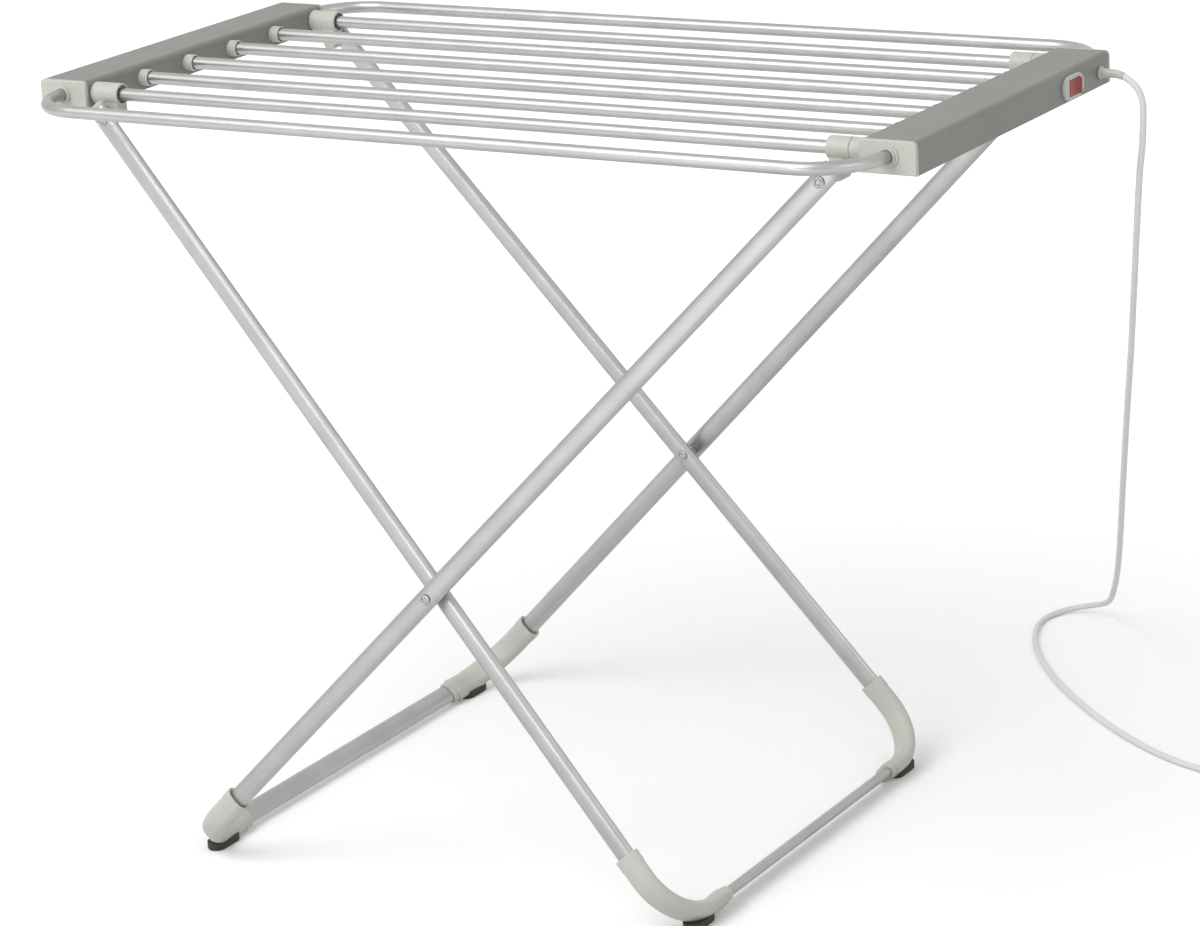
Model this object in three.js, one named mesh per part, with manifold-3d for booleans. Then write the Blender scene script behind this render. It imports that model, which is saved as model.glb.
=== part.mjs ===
// Heated clothes airer: two hollow rails joined by six heated bars, with a
// bent bar in front and behind, on two crossed leg frames that fold flat.
// Millimetres, +Z up. +X runs along the bars to the rail with the switch, +Y
// to the back. The origin is on the floor, under the middle of the airer.

import * as THREE from 'three';
import { mergeVertices } from 'three/addons/utils/BufferGeometryUtils.js';
import Module from 'manifold-3d';

const wasm = await Module();
wasm.setup();

// Overall
const LENGTH = 942; // left rail's outer face to the raised edge of the rocker
const CLEAR = 0.3; // between two pieces that touch
const RUNNING = 0.5; // between two pieces that turn or slide on each other
const OVERRUN = 2; // how far a cutting tool runs past the face it cuts

// Bars
const BAR_COUNT = 6;
const BAR_PITCH = 72;
const BAR_DIAMETER = 12;
const BAR_WALL = 1;
const BAR_INSERT = 12; // length of a bar's end inside its rail
const SIDE_BAR_OFFSET = 80; // outer heated bar to the bent bar beside it
const SIDE_BAR_BEND = 60; // bend radius on the axis
const SIDE_BAR_INSERT = 18; // length of its end inside the cap and rail

// Rails
const RAIL_END_MARGIN = 17; // outermost bar's axis to the end cap's face
const RAIL_TOP_RISE = 13.5; // top face above the bar axis
const LEFT_RAIL_WIDTH = 54;
const LEFT_RAIL_HEIGHT = 26;
const RIGHT_RAIL_WIDTH = 54;
const RIGHT_RAIL_HEIGHT = 29.5;
const RAIL_WALL = 2;
const RAIL_EDGE_RADIUS = 4.5;
const CAP_THICKNESS = 4;
const SPIGOT_DEPTH = 5;
const SPIGOT_WALL = 6; // height and width left of the spigot's border
const BASE_THICKNESS = 2;
const POST_DIAMETER = 6.4;
const SCREW_DIAMETER = 3;
const SCREW_HEAD_DIAMETER = 6;
const SCREW_HEAD_HEIGHT = 1.6;
const SCREW_LENGTH = 9;
const LEFT_RING_DIAMETER = 17;
const RIGHT_RING_DIAMETER = 21;
const RING_HEIGHT = 3;
const RING_STEP = 1.5; // second step of the right-hand rings
const RING_STEP_DIAMETER = 16.5;

// Collars
const SMALL_COLLAR_DIAMETER = 16;
const SMALL_COLLAR_LENGTH = 10.5; // outside the rail
const HOLDER_THICKNESS = 4;
const HOLDER_HEIGHT = 18;
const SLEEVE_DIAMETER = 21;
const SLIDER_LENGTH = 31;
const SLIDER_PIN_INSET = 9; // pin to the slider's free end
const SLIDER_MOUTH_DIAMETER = 17.5;
const SLIDER_MOUTH_DEPTH = 5;
const FIXED_COLLAR_LENGTH = 22;
const FIXED_PIN_INSET = 9;
const STOP_BOSS_LENGTH = 13.7; // the fixed collar's boss, from its groove to the rail
const PIN_DROP = 21; // leg pins below the bar axis
const LUG_WIDTH = 14;
const LUG_INNER = 8; // the lug's inner face, inboard of the bar axis
const BOSS_DIAMETER = 12.6;
const GROOVE_DIAMETER = 19.4; // groove between the fixed collar's two parts
const GROOVE_WIDTH = 0.8;

// Legs
const TUBE_WIDE = 20;
const TUBE_THIN = 10;
const TUBE_WALL = 1.2;
const INNER_UPPER = 554; // slider pin to the crossing
const INNER_LOWER = 381; // crossing to the foot
const OUTER_UPPER = 587.5; // fixed pin to the crossing
const INNER_TOP_OFFSET = 19; // outermost bar's axis to the middle of the leg at its pin
const INNER_FOOT_OFFSET = 67; // and at its foot
const OUTER_TOP_OFFSET = 35.3;
const OUTER_FOOT_OFFSET = 88.7;
const FOOT_AXIS_Z = 13.5; // axis of the crossbars above the floor
const TUBE_ABOVE_PIN = 12;
const PLUG_HEAD = 4;
const PLUG_DEPTH = 30;
const PIN_DIAMETER = 6;
const PIN_HEAD_DIAMETER = 11;
const PIN_HEAD_HEIGHT = 2.4;
const SHOULDER_DIAMETER = 12; // of the crossing rivets, between the legs
const OPEN_PIVOT_GAP = 1; // lug boss to the outer leg

// Elbows and feet
const ELBOW_WIDE = 26;
const ELBOW_THIN = 16;
const ELBOW_BEND = 54;
const ELBOW_LEG_REACH = 82; // from the corner of the two tube axes
const ELBOW_CROSSBAR_REACH = 84;
const ELBOW_OVERLAP = 24; // length of tube inside an elbow
const PAD_LENGTH = 40;
const PAD_WIDTH = 19;
const PAD_HEIGHT = 8;
const PAD_CORNER_DISTANCE = 43; // middle of the pad from the corner

// Electrical pieces
const ELEMENT_DIAMETER = 8.8;
const ELEMENT_PROUD = 3; // beyond the ends of its bar
const LINK_THICKNESS = 2.5;
const LINK_HEIGHT = 5;
const TAIL_THICKNESS = 2;
const TAIL_HEIGHT = 3;
const SWITCH_INSET = 85; // switch's middle to the rear end cap's face
const SWITCH_DROP = 3; // switch axis below the bar axis
const BEZEL_LENGTH = 42;
const BEZEL_HEIGHT = 22;
const BEZEL_PROUD = 3.5;
const WINDOW_LENGTH = 23;
const WINDOW_HEIGHT = 15.4;
const SLEEVE_WALL = 1.6;
const SWITCH_BODY_DEPTH = 15;
const SWITCH_POCKET_DEPTH = 7;
const ROCKER_RADIUS = 11; // pivot to the ends of the rocker
const ROCKER_PIVOT_PROUD = 0.5; // pivot outside the rail's face
const ROCKER_RIM = 5; // end corners outside the pivot
const ROCKER_DIP = 2.8; // middle of the face outside the pivot
const ROCKER_BACK = 2.5; // back face behind the pivot
const TRUNNION_DIAMETER = 2.4;
const TRUNNION_REACH = 1.5; // beyond the rocker's ends
const ROCKER_TILT = THREE.MathUtils.degToRad(9);
const GLAND_INSET = 24; // gland's axis to the rear end cap's face
const GLAND_DROP = 3;
const GLAND_FLANGE_DIAMETER = 12;
const GLAND_FLANGE = 2.5;
const GLAND_NECK_DIAMETER = 8;
const GLAND_NUT_DIAMETER = 11;
const GLAND_NUT = 3;
const RELIEF_LENGTH = 22;
const RELIEF_DIAMETER = 9.4;
const RELIEF_BEND = 29; // radius on which the cord turns down
const EXIT_STRAIGHT = 13; // cord's straight start outside the rail
const TERMINAL_LENGTH = 26;
const TERMINAL_WIDTH = 20;
const TERMINAL_HEIGHT = 16;
const TERMINAL_INSET = 17; // from the rail's inner face
const LEAD_DIAMETER = 3.4;

// Cord
const CORD_DIAMETER = 6.4;
const CORD_STEPS = 78;
const COIL_X = 565;
const COIL_Y = 352;
const COIL_OUTER_RADIUS = 40;
const COIL_TURN_GAP = 0.8;
const COIL_LAYER_GAP = 0.7;
const COIL_TURNS = 3;
const COIL_STEPS_PER_TURN = 24;
const COIL_TAIL = 26; // straight run from the last turn to the plug
const PLUG_TAIL_LENGTH = 24;
const PLUG_TAIL_DIAMETER = 8;
const PLUG_BODY_LENGTH = 36;
const PLUG_WIDTH = 35;
const PLUG_THICKNESS = 20;
const PLUG_GRIP_WIDTH = 22;
const PLUG_PIN_DIAMETER = 4.8;
const PLUG_PIN_LENGTH = 19;
const PLUG_PIN_SPACING = 19;
const PLUG_INSERT_WIDTH = 27;
const PLUG_INSERT_HEIGHT = 10;
const PLUG_INSERT_DEPTH = 12;

// Colours
const ALUMINIUM = new THREE.MeshStandardMaterial({ color: 0xb9bbbb, metalness: 0.8, roughness: 0.4 });
const RAIL_GREY = new THREE.MeshStandardMaterial({ color: 0x8e8f8c, metalness: 0.1, roughness: 0.5 });
const LIGHT_GREY = new THREE.MeshStandardMaterial({ color: 0xc3c4bc, metalness: 0, roughness: 0.5 });
const STEEL = new THREE.MeshStandardMaterial({ color: 0xcfcfcf, metalness: 0.9, roughness: 0.3 });
const RED = new THREE.MeshStandardMaterial({ color: 0xb03a3a, metalness: 0, roughness: 0.35 });
const RUBBER = new THREE.MeshStandardMaterial({ color: 0x2f2f2d, metalness: 0, roughness: 0.8 });
const CORD_WHITE = new THREE.MeshStandardMaterial({ color: 0xd9d9d5, metalness: 0, roughness: 0.5 });
const SILICONE = new THREE.MeshStandardMaterial({ color: 0xb5533c, metalness: 0, roughness: 0.6 });

// Places worked out from the sizes
const BAR_YS = Array.from({ length: BAR_COUNT }, (_, i) => (i - (BAR_COUNT - 1) / 2) * BAR_PITCH);
const OUTER_BAR_Y = BAR_YS[BAR_COUNT - 1];
const RAIL_HALF = OUTER_BAR_Y + RAIL_END_MARGIN;
const INNER_TOP_Y = OUTER_BAR_Y + INNER_TOP_OFFSET;
const INNER_FOOT_Y = OUTER_BAR_Y + INNER_FOOT_OFFSET;
const OUTER_TOP_Y = OUTER_BAR_Y + OUTER_TOP_OFFSET;
const OUTER_FOOT_Y = OUTER_BAR_Y + OUTER_FOOT_OFFSET;
const SWITCH_Y = RAIL_HALF - SWITCH_INSET;
const GLAND_Y = RAIL_HALF - GLAND_INSET;
const ROCKER_CORNER = Math.sqrt(ROCKER_RADIUS ** 2 - ROCKER_RIM ** 2);
const SWITCH_PROUD = ROCKER_PIVOT_PROUD + ROCKER_RIM * Math.cos(ROCKER_TILT)
  + ROCKER_CORNER * Math.sin(ROCKER_TILT);
const LEFT_OUTER = -LENGTH / 2;
const LEFT_INNER = LEFT_OUTER + LEFT_RAIL_WIDTH;
const RIGHT_OUTER = LENGTH / 2 - SWITCH_PROUD;
const RIGHT_INNER = RIGHT_OUTER - RIGHT_RAIL_WIDTH;
const SLIDER_START = LEFT_INNER + CLEAR;
const SLIDER_PIN_X = SLIDER_START + SLIDER_LENGTH - SLIDER_PIN_INSET;
const FIXED_COLLAR_START = RIGHT_INNER - CLEAR - STOP_BOSS_LENGTH - FIXED_COLLAR_LENGTH;
const FIXED_PIN_X = FIXED_COLLAR_START + FIXED_PIN_INSET;
const PIN_SPAN = FIXED_PIN_X - SLIDER_PIN_X;

// The two legs of a pair and the pin span make a triangle that sets the open angle.
const INNER_ANGLE = Math.acos(
  (INNER_UPPER ** 2 + PIN_SPAN ** 2 - OUTER_UPPER ** 2) / (2 * INNER_UPPER * PIN_SPAN));
const OUTER_ANGLE = Math.asin((INNER_UPPER * Math.sin(INNER_ANGLE)) / OUTER_UPPER);
const OUTER_LOWER = (INNER_LOWER * OUTER_UPPER) / INNER_UPPER;
const INNER_LENGTH = INNER_UPPER + INNER_LOWER;
const OUTER_LENGTH = OUTER_UPPER + OUTER_LOWER;
const PIN_Z = FOOT_AXIS_Z + INNER_LENGTH * Math.sin(INNER_ANGLE);
const BAR_Z = PIN_Z + PIN_DROP;
const INNER_FOOT_X = SLIDER_PIN_X + INNER_LENGTH * Math.cos(INNER_ANGLE);
const OUTER_FOOT_X = FIXED_PIN_X - OUTER_LENGTH * Math.cos(OUTER_ANGLE);

const INNER_BAR_YS = BAR_YS.slice(1, BAR_COUNT - 1);
const POST_YS = [-2 * BAR_PITCH, 2 * BAR_PITCH];

const LEFT = {
  side: -1,
  low: LEFT_OUTER,
  high: LEFT_INNER,
  inner: LEFT_INNER,
  outer: LEFT_OUTER,
  top: BAR_Z + RAIL_TOP_RISE,
  bottom: BAR_Z + RAIL_TOP_RISE - LEFT_RAIL_HEIGHT,
  middle: (LEFT_OUTER + LEFT_INNER) / 2,
};
const RIGHT = {
  side: 1,
  low: RIGHT_INNER,
  high: RIGHT_OUTER,
  inner: RIGHT_INNER,
  outer: RIGHT_OUTER,
  top: BAR_Z + RAIL_TOP_RISE,
  bottom: BAR_Z + RAIL_TOP_RISE - RIGHT_RAIL_HEIGHT,
  middle: (RIGHT_INNER + RIGHT_OUTER) / 2,
};

const airer = new THREE.Group();
airer.name = 'heated_clothes_airer';

// Helpers

function toSolid(geometry) {
  const clean = geometry.clone();
  clean.deleteAttribute('normal');
  clean.deleteAttribute('uv');
  const merged = mergeVertices(clean, 1e-4);
  const mesh = new wasm.Mesh({
    numProp: 3,
    vertProperties: new Float32Array(merged.attributes.position.array),
    triVerts: new Uint32Array(merged.index.array),
  });
  return new wasm.Manifold(mesh);
}

function toGeometry(solid) {
  const mesh = solid.getMesh();
  const geometry = new THREE.BufferGeometry();
  geometry.setAttribute('position', new THREE.BufferAttribute(new Float32Array(mesh.vertProperties), 3));
  geometry.setIndex(new THREE.BufferAttribute(new Uint32Array(mesh.triVerts), 1));
  geometry.computeVertexNormals();
  return geometry;
}

function join(...geometries) {
  return toGeometry(geometries.map(toSolid).reduce((sum, solid) => sum.add(solid)));
}

function cut(geometry, ...tools) {
  return toGeometry(tools.map(toSolid).reduce((rest, tool) => rest.subtract(tool), toSolid(geometry)));
}

function add(parent, name, geometry, material) {
  const mesh = new THREE.Mesh(geometry, material);
  mesh.name = name;
  parent.add(mesh);
  return mesh;
}

function extrusion(shape, depth, curveSegments) {
  return new THREE.ExtrudeGeometry(shape, { depth, bevelEnabled: false, curveSegments });
}

// A shape's own x becomes world X and its y world Z, between two places on Y.
function extrudeAlongY(shape, low, high, curveSegments) {
  const geometry = extrusion(shape, high - low, curveSegments);
  return geometry.rotateX(Math.PI / 2).translate(0, high, 0);
}

// A shape's own x becomes world Y and its y world Z, between two places on X.
function extrudeAlongX(shape, low, high, curveSegments) {
  const geometry = extrusion(shape, high - low, curveSegments);
  return geometry.rotateX(Math.PI / 2).rotateZ(Math.PI / 2).translate(low, 0, 0);
}

function extrudeAlongZ(shape, low, high, curveSegments) {
  const geometry = extrusion(shape, high - low, curveSegments);
  return geometry.translate(0, 0, low);
}

function box(x0, x1, y0, y1, z0, z1) {
  const geometry = new THREE.BoxGeometry(x1 - x0, y1 - y0, z1 - z0);
  return geometry.translate((x0 + x1) / 2, (y0 + y1) / 2, (z0 + z1) / 2);
}

function rodX(diameter, x0, x1, y, z, sides = 16) {
  const geometry = new THREE.CylinderGeometry(diameter / 2, diameter / 2, x1 - x0, sides);
  return geometry.rotateZ(-Math.PI / 2).translate((x0 + x1) / 2, y, z);
}

function rodY(diameter, y0, y1, x, z, sides = 16) {
  const geometry = new THREE.CylinderGeometry(diameter / 2, diameter / 2, y1 - y0, sides);
  return geometry.translate(x, (y0 + y1) / 2, z);
}

function rodZ(diameter, z0, z1, x, y, sides = 12) {
  const geometry = new THREE.CylinderGeometry(diameter / 2, diameter / 2, z1 - z0, sides);
  return geometry.rotateX(Math.PI / 2).translate(x, y, (z0 + z1) / 2);
}

function coneX(startDiameter, endDiameter, x0, x1, y, z, sides = 16) {
  const geometry = new THREE.CylinderGeometry(endDiameter / 2, startDiameter / 2, x1 - x0, sides);
  return geometry.rotateZ(-Math.PI / 2).translate((x0 + x1) / 2, y, z);
}

function circleShape(diameter, hole = 0) {
  const shape = new THREE.Shape().absarc(0, 0, diameter / 2, 0, 2 * Math.PI);
  if (hole > 0) shape.holes.push(new THREE.Path().absarc(0, 0, hole / 2, 0, 2 * Math.PI));
  return shape;
}

function tubeX(outer, bore, x0, x1, y, z, sides = 16) {
  return extrudeAlongX(circleShape(outer, bore), x0, x1, sides / 2).translate(0, y, z);
}

// Two half circles joined by straight sides: wide along x, thin along y.
function stadiumPath(path, wide, thin) {
  const half = (wide - thin) / 2;
  path.moveTo(-half, -thin / 2);
  path.lineTo(half, -thin / 2);
  path.absarc(half, 0, thin / 2, -Math.PI / 2, Math.PI / 2);
  path.lineTo(-half, thin / 2);
  path.absarc(-half, 0, thin / 2, Math.PI / 2, 1.5 * Math.PI);
  return path;
}

function stadium(wide, thin, wall = 0) {
  const shape = stadiumPath(new THREE.Shape(), wide, thin);
  if (wall > 0) shape.holes.push(stadiumPath(new THREE.Path(), wide - 2 * wall, thin - 2 * wall));
  return shape;
}

// A path that an extrusion follows through chosen stations, with no others between.
class StationPath extends THREE.Curve {
  constructor(points, tangents) {
    super();
    this.points = points;
    this.tangents = tangents;
  }

  get steps() {
    return this.points.length - 1;
  }

  getPointAt(u) {
    return this.points[Math.round(u * this.steps)].clone();
  }

  getTangentAt(u) {
    return this.tangents[Math.round(u * this.steps)].clone();
  }
}

// Straight runs joined by arcs. Each corner is a point with a bend radius.
function bentPath(start, corners, end, bend, arcSteps) {
  const points = [start];
  const tangents = [];
  let from = start;
  corners.forEach((corner, i) => {
    const next = corners[i + 1] ?? end;
    const inward = corner.clone().sub(from).normalize();
    const outward = next.clone().sub(corner).normalize();
    const turn = inward.angleTo(outward);
    const setback = bend * Math.tan(turn / 2);
    const side = outward.clone().addScaledVector(inward, -outward.dot(inward)).normalize();
    const first = corner.clone().addScaledVector(inward, -setback);
    if (i === 0) tangents.push(inward.clone());
    for (let k = 0; k <= arcSteps; k += 1) {
      const angle = (turn * k) / arcSteps;
      const point = first.clone().addScaledVector(inward, bend * Math.sin(angle));
      points.push(point.addScaledVector(side, bend * (1 - Math.cos(angle))));
      tangents.push(inward.clone().multiplyScalar(Math.cos(angle)).addScaledVector(side, Math.sin(angle)));
    }
    from = corner;
  });
  points.push(end);
  tangents.push(end.clone().sub(from).normalize());
  return new StationPath(points, tangents);
}

function sweep(shape, path, curveSegments) {
  return new THREE.ExtrudeGeometry(shape, { steps: path.steps, extrudePath: path, curveSegments });
}

// Narrows a swept solid evenly along its stations, to a share of its width at the last.
function taper(geometry, stations, endShare) {
  const lengths = [0];
  stations.slice(1).forEach((point, i) => lengths.push(lengths[i] + point.distanceTo(stations[i])));
  const place = geometry.getAttribute('position');
  for (let i = 0; i < place.count; i += 1) {
    const vertex = new THREE.Vector3().fromBufferAttribute(place, i);
    const distances = stations.map((point) => point.distanceTo(vertex));
    const nearest = distances.indexOf(Math.min(...distances));
    const share = lengths[nearest] / lengths[lengths.length - 1];
    vertex.sub(stations[nearest]).multiplyScalar(1 + (endShare - 1) * share).add(stations[nearest]);
    place.setXYZ(i, vertex.x, vertex.y, vertex.z);
  }
  return geometry;
}

// Rails

function railShape(rail, inset, drop) {
  const low = rail.low + inset;
  const high = rail.high - inset;
  const top = rail.top - inset;
  const bottom = rail.bottom - drop;
  const radius = RAIL_EDGE_RADIUS - inset;
  const shape = new THREE.Shape();
  shape.moveTo(low, bottom);
  shape.lineTo(high, bottom);
  shape.lineTo(high, top - radius);
  shape.absarc(high - radius, top - radius, radius, 0, Math.PI / 2);
  shape.lineTo(low + radius, top);
  shape.absarc(low + radius, top - radius, radius, Math.PI / 2, Math.PI);
  return shape;
}

function railCover(rail) {
  const half = RAIL_HALF - CAP_THICKNESS - CLEAR;
  const shell = cut(
    extrudeAlongY(railShape(rail, 0, 0), -half, half, 3),
    extrudeAlongY(railShape(rail, RAIL_WALL, OVERRUN), -half - OVERRUN, half + OVERRUN, 3),
  );
  const postBottom = rail.bottom + BASE_THICKNESS + CLEAR;
  const posts = POST_YS.map((y) => rodZ(POST_DIAMETER, postBottom, rail.top - RAIL_WALL / 2, rail.middle, y));
  const screwTop = rail.bottom + SCREW_LENGTH + CLEAR;
  const screwHoles = POST_YS.map((y) => rodZ(
    SCREW_DIAMETER + 2 * CLEAR, postBottom - OVERRUN, screwTop, rail.middle, y, 12));
  const innerWall = rail.inner + rail.side * RAIL_WALL / 2;
  const barHoles = BAR_YS.map((y) => {
    const through = INNER_BAR_YS.includes(y) ? SMALL_COLLAR_DIAMETER : BAR_DIAMETER;
    return rodX(through + 2 * CLEAR, innerWall - OVERRUN, innerWall + OVERRUN, y, BAR_Z);
  });
  return cut(join(shell, ...posts), ...screwHoles, ...barHoles);
}

function railBase(rail) {
  const half = RAIL_HALF - CAP_THICKNESS - SPIGOT_DEPTH - 2 * CLEAR;
  const plate = box(
    rail.low + RAIL_WALL + CLEAR, rail.high - RAIL_WALL - CLEAR,
    -half, half, rail.bottom, rail.bottom + BASE_THICKNESS);
  const holeTop = rail.bottom + BASE_THICKNESS + OVERRUN;
  const holes = POST_YS.map((y) => rodZ(
    SCREW_DIAMETER + 2 * CLEAR, rail.bottom - OVERRUN, holeTop, rail.middle, y, 12));
  return cut(plate, ...holes);
}

function housingScrew(rail, y) {
  const headTop = rail.bottom - CLEAR;
  const headBottom = headTop - SCREW_HEAD_HEIGHT;
  const head = rodZ(SCREW_HEAD_DIAMETER, headBottom, headTop, rail.middle, y, 12);
  const tip = rail.bottom + SCREW_LENGTH;
  const shank = rodZ(SCREW_DIAMETER, headBottom + SCREW_HEAD_HEIGHT / 2, tip, rail.middle, y, 10);
  return join(head, shank);
}

// A mirrored copy, with its faces turned the right way out again.
function mirrorY(geometry) {
  const copy = toGeometry(toSolid(geometry)).scale(1, -1, 1);
  const index = copy.index.array;
  for (let i = 0; i < index.length; i += 3) [index[i], index[i + 1]] = [index[i + 1], index[i]];
  return copy;
}

// The rear cap of a rail, with the ring that the bent bar goes in through.
function endCap(rail, rings) {
  const face = RAIL_HALF;
  const back = face - CAP_THICKNESS;
  const tip = back - SPIGOT_DEPTH;
  const plate = extrudeAlongY(railShape(rail, 0, 0), back, face, 3);
  const spigotShape = railShape(rail, RAIL_WALL + CLEAR, -RAIL_WALL - CLEAR);
  const spigot = extrudeAlongY(spigotShape, tip, (back + face) / 2, 3);
  const hollow = box(
    rail.low + SPIGOT_WALL, rail.high - SPIGOT_WALL, tip - OVERRUN, back,
    rail.bottom + SPIGOT_WALL, rail.top - SPIGOT_WALL);
  const rounds = rings.map(([diameter, reach]) => rodY(
    diameter, (back + face) / 2, face + reach, rail.middle, BAR_Z, 20));
  const holeEnd = face + RING_HEIGHT + OVERRUN;
  const hole = rodY(BAR_DIAMETER + 2 * CLEAR, tip - OVERRUN, holeEnd, rail.middle, BAR_Z);
  return cut(join(plate, spigot, ...rounds), hollow, hole);
}

const LEFT_RINGS = [[LEFT_RING_DIAMETER, RING_HEIGHT]];
const RIGHT_RINGS = [[RIGHT_RING_DIAMETER, RING_STEP], [RING_STEP_DIAMETER, RING_HEIGHT]];
for (const [word, rail, rings] of [['left', LEFT, LEFT_RINGS], ['right', RIGHT, RIGHT_RINGS]]) {
  let cover = railCover(rail);
  if (rail === RIGHT) {
    const wall = [RIGHT_OUTER - RAIL_WALL - OVERRUN, RIGHT_OUTER + OVERRUN];
    const halfLength = WINDOW_LENGTH / 2 + SLEEVE_WALL + CLEAR;
    const halfHeight = WINDOW_HEIGHT / 2 + SLEEVE_WALL + CLEAR;
    const switchZ = BAR_Z - SWITCH_DROP;
    cover = cut(
      cover,
      box(...wall, SWITCH_Y - halfLength, SWITCH_Y + halfLength, switchZ - halfHeight, switchZ + halfHeight),
      rodX(GLAND_NECK_DIAMETER + 2 * CLEAR, ...wall, GLAND_Y, BAR_Z - GLAND_DROP, 16));
  }
  add(airer, `${word}_rail_cover`, cover, RAIL_GREY);
  add(airer, `${word}_rail_base`, railBase(rail), RAIL_GREY);
  const cap = endCap(rail, rings);
  add(airer, `${word}_front_end_cap`, mirrorY(cap), LIGHT_GREY);
  add(airer, `${word}_rear_end_cap`, cap, LIGHT_GREY);
  add(airer, `${word}_front_screw`, housingScrew(rail, POST_YS[0]), STEEL);
  add(airer, `${word}_rear_screw`, housingScrew(rail, POST_YS[1]), STEEL);
}

// A strip inside the rail that carries the bars' ends. Its collars stand out
// through the rail's wall round the four inner bars.
function barHolder(rail) {
  const wallInside = rail.inner + rail.side * (RAIL_WALL + CLEAR);
  const back = wallInside + rail.side * HOLDER_THICKNESS;
  const collarEnd = rail.inner - rail.side * SMALL_COLLAR_LENGTH;
  const half = RAIL_HALF - CAP_THICKNESS - SPIGOT_DEPTH - 2 * CLEAR;
  const span = [Math.min(wallInside, back), Math.max(wallInside, back)];
  const reach = [Math.min(collarEnd, back), Math.max(collarEnd, back)];
  const strip = box(...span, -half, half, BAR_Z - HOLDER_HEIGHT / 2, BAR_Z + HOLDER_HEIGHT / 2);
  const collars = INNER_BAR_YS.map((y) => rodX(SMALL_COLLAR_DIAMETER, ...reach, y, BAR_Z));
  const bores = BAR_YS.map((y) => rodX(
    BAR_DIAMETER + 2 * CLEAR, reach[0] - OVERRUN, reach[1] + OVERRUN, y, BAR_Z));
  return cut(join(strip, ...collars), ...bores);
}
add(airer, 'left_bar_holder', barHolder(LEFT), LIGHT_GREY);
add(airer, 'right_bar_holder', barHolder(RIGHT), LIGHT_GREY);

// Bars

const BAR_START = LEFT_INNER - BAR_INSERT;
const BAR_END = RIGHT_INNER + BAR_INSERT;
BAR_YS.forEach((y, i) => {
  const bar = tubeX(BAR_DIAMETER, BAR_DIAMETER - 2 * BAR_WALL, BAR_START, BAR_END, y, BAR_Z);
  add(airer, `heated_bar_${i + 1}`, bar, ALUMINIUM);
});

// One heating cable runs through every bar in turn. Links inside the rails
// join its runs, and two tails lead from the outer bars to the terminal block.
const CABLE_LEFT = BAR_START - ELEMENT_PROUD;
const CABLE_RIGHT = BAR_END + ELEMENT_PROUD;
const TAIL_X = CABLE_RIGHT + LINK_THICKNESS + RUNNING;
const TAIL_END = TAIL_X + TAIL_THICKNESS;

function cableRun(y, i) {
  const outermost = i === 0 || i === BAR_COUNT - 1;
  const right = outermost ? TAIL_END : CABLE_RIGHT + LINK_THICKNESS;
  return rodX(ELEMENT_DIAMETER, CABLE_LEFT - LINK_THICKNESS, right, y, BAR_Z, 12);
}

function cableLink(i) {
  const start = i % 2 === 0 ? CABLE_LEFT - LINK_THICKNESS : CABLE_RIGHT;
  return box(
    start, start + LINK_THICKNESS, BAR_YS[i], BAR_YS[i + 1],
    BAR_Z - LINK_HEIGHT / 2, BAR_Z + LINK_HEIGHT / 2);
}

function cableTail(side) {
  const near = side * (TERMINAL_LENGTH / 2 + CLEAR);
  const far = side * OUTER_BAR_Y;
  return box(
    TAIL_X, TAIL_END, Math.min(near, far), Math.max(near, far),
    BAR_Z - TAIL_HEIGHT / 2, BAR_Z + TAIL_HEIGHT / 2);
}

const links = BAR_YS.slice(1).map((_, i) => cableLink(i));
add(airer, 'heating_cable', join(...BAR_YS.map(cableRun), ...links, cableTail(-1), cableTail(1)), SILICONE);

// end is -1 for the front bar and 1 for the rear one.
function sideBar(end) {
  const inside = end * (RAIL_HALF - SIDE_BAR_INSERT);
  const y = end * (OUTER_BAR_Y + SIDE_BAR_OFFSET);
  const place = (x, yy) => new THREE.Vector3(x, yy, BAR_Z);
  const path = bentPath(
    place(LEFT.middle, inside),
    [place(LEFT.middle, y), place(RIGHT.middle, y)],
    place(RIGHT.middle, inside),
    SIDE_BAR_BEND, 6);
  return sweep(circleShape(BAR_DIAMETER, BAR_DIAMETER - 2 * BAR_WALL), path, 6);
}
add(airer, 'front_side_bar', sideBar(-1), ALUMINIUM);
add(airer, 'rear_side_bar', sideBar(1), ALUMINIUM);

// Collars

// A sleeve round a bar with a lug below it and a boss that faces the leg.
// It is made for the rear bar, and mirrored for the front one.
function legCollar(x0, x1, pinX, bossFace, bore) {
  const sleeve = rodX(SLEEVE_DIAMETER, x0, x1, OUTER_BAR_Y, BAR_Z, 20);
  const lugShape = new THREE.Shape();
  lugShape.moveTo(pinX - LUG_WIDTH / 2, BAR_Z);
  lugShape.lineTo(pinX - LUG_WIDTH / 2, PIN_Z);
  lugShape.absarc(pinX, PIN_Z, LUG_WIDTH / 2, Math.PI, 2 * Math.PI);
  lugShape.lineTo(pinX + LUG_WIDTH / 2, BAR_Z);
  const lug = extrudeAlongY(lugShape, OUTER_BAR_Y - LUG_INNER, OUTER_BAR_Y + LUG_INNER, 5);
  const boss = rodY(BOSS_DIAMETER, OUTER_BAR_Y, bossFace, pinX, PIN_Z);
  const barHole = rodX(bore, x0 - OVERRUN, x1 + OVERRUN, OUTER_BAR_Y, BAR_Z);
  return cut(join(sleeve, lug, boss), barHole);
}

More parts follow.
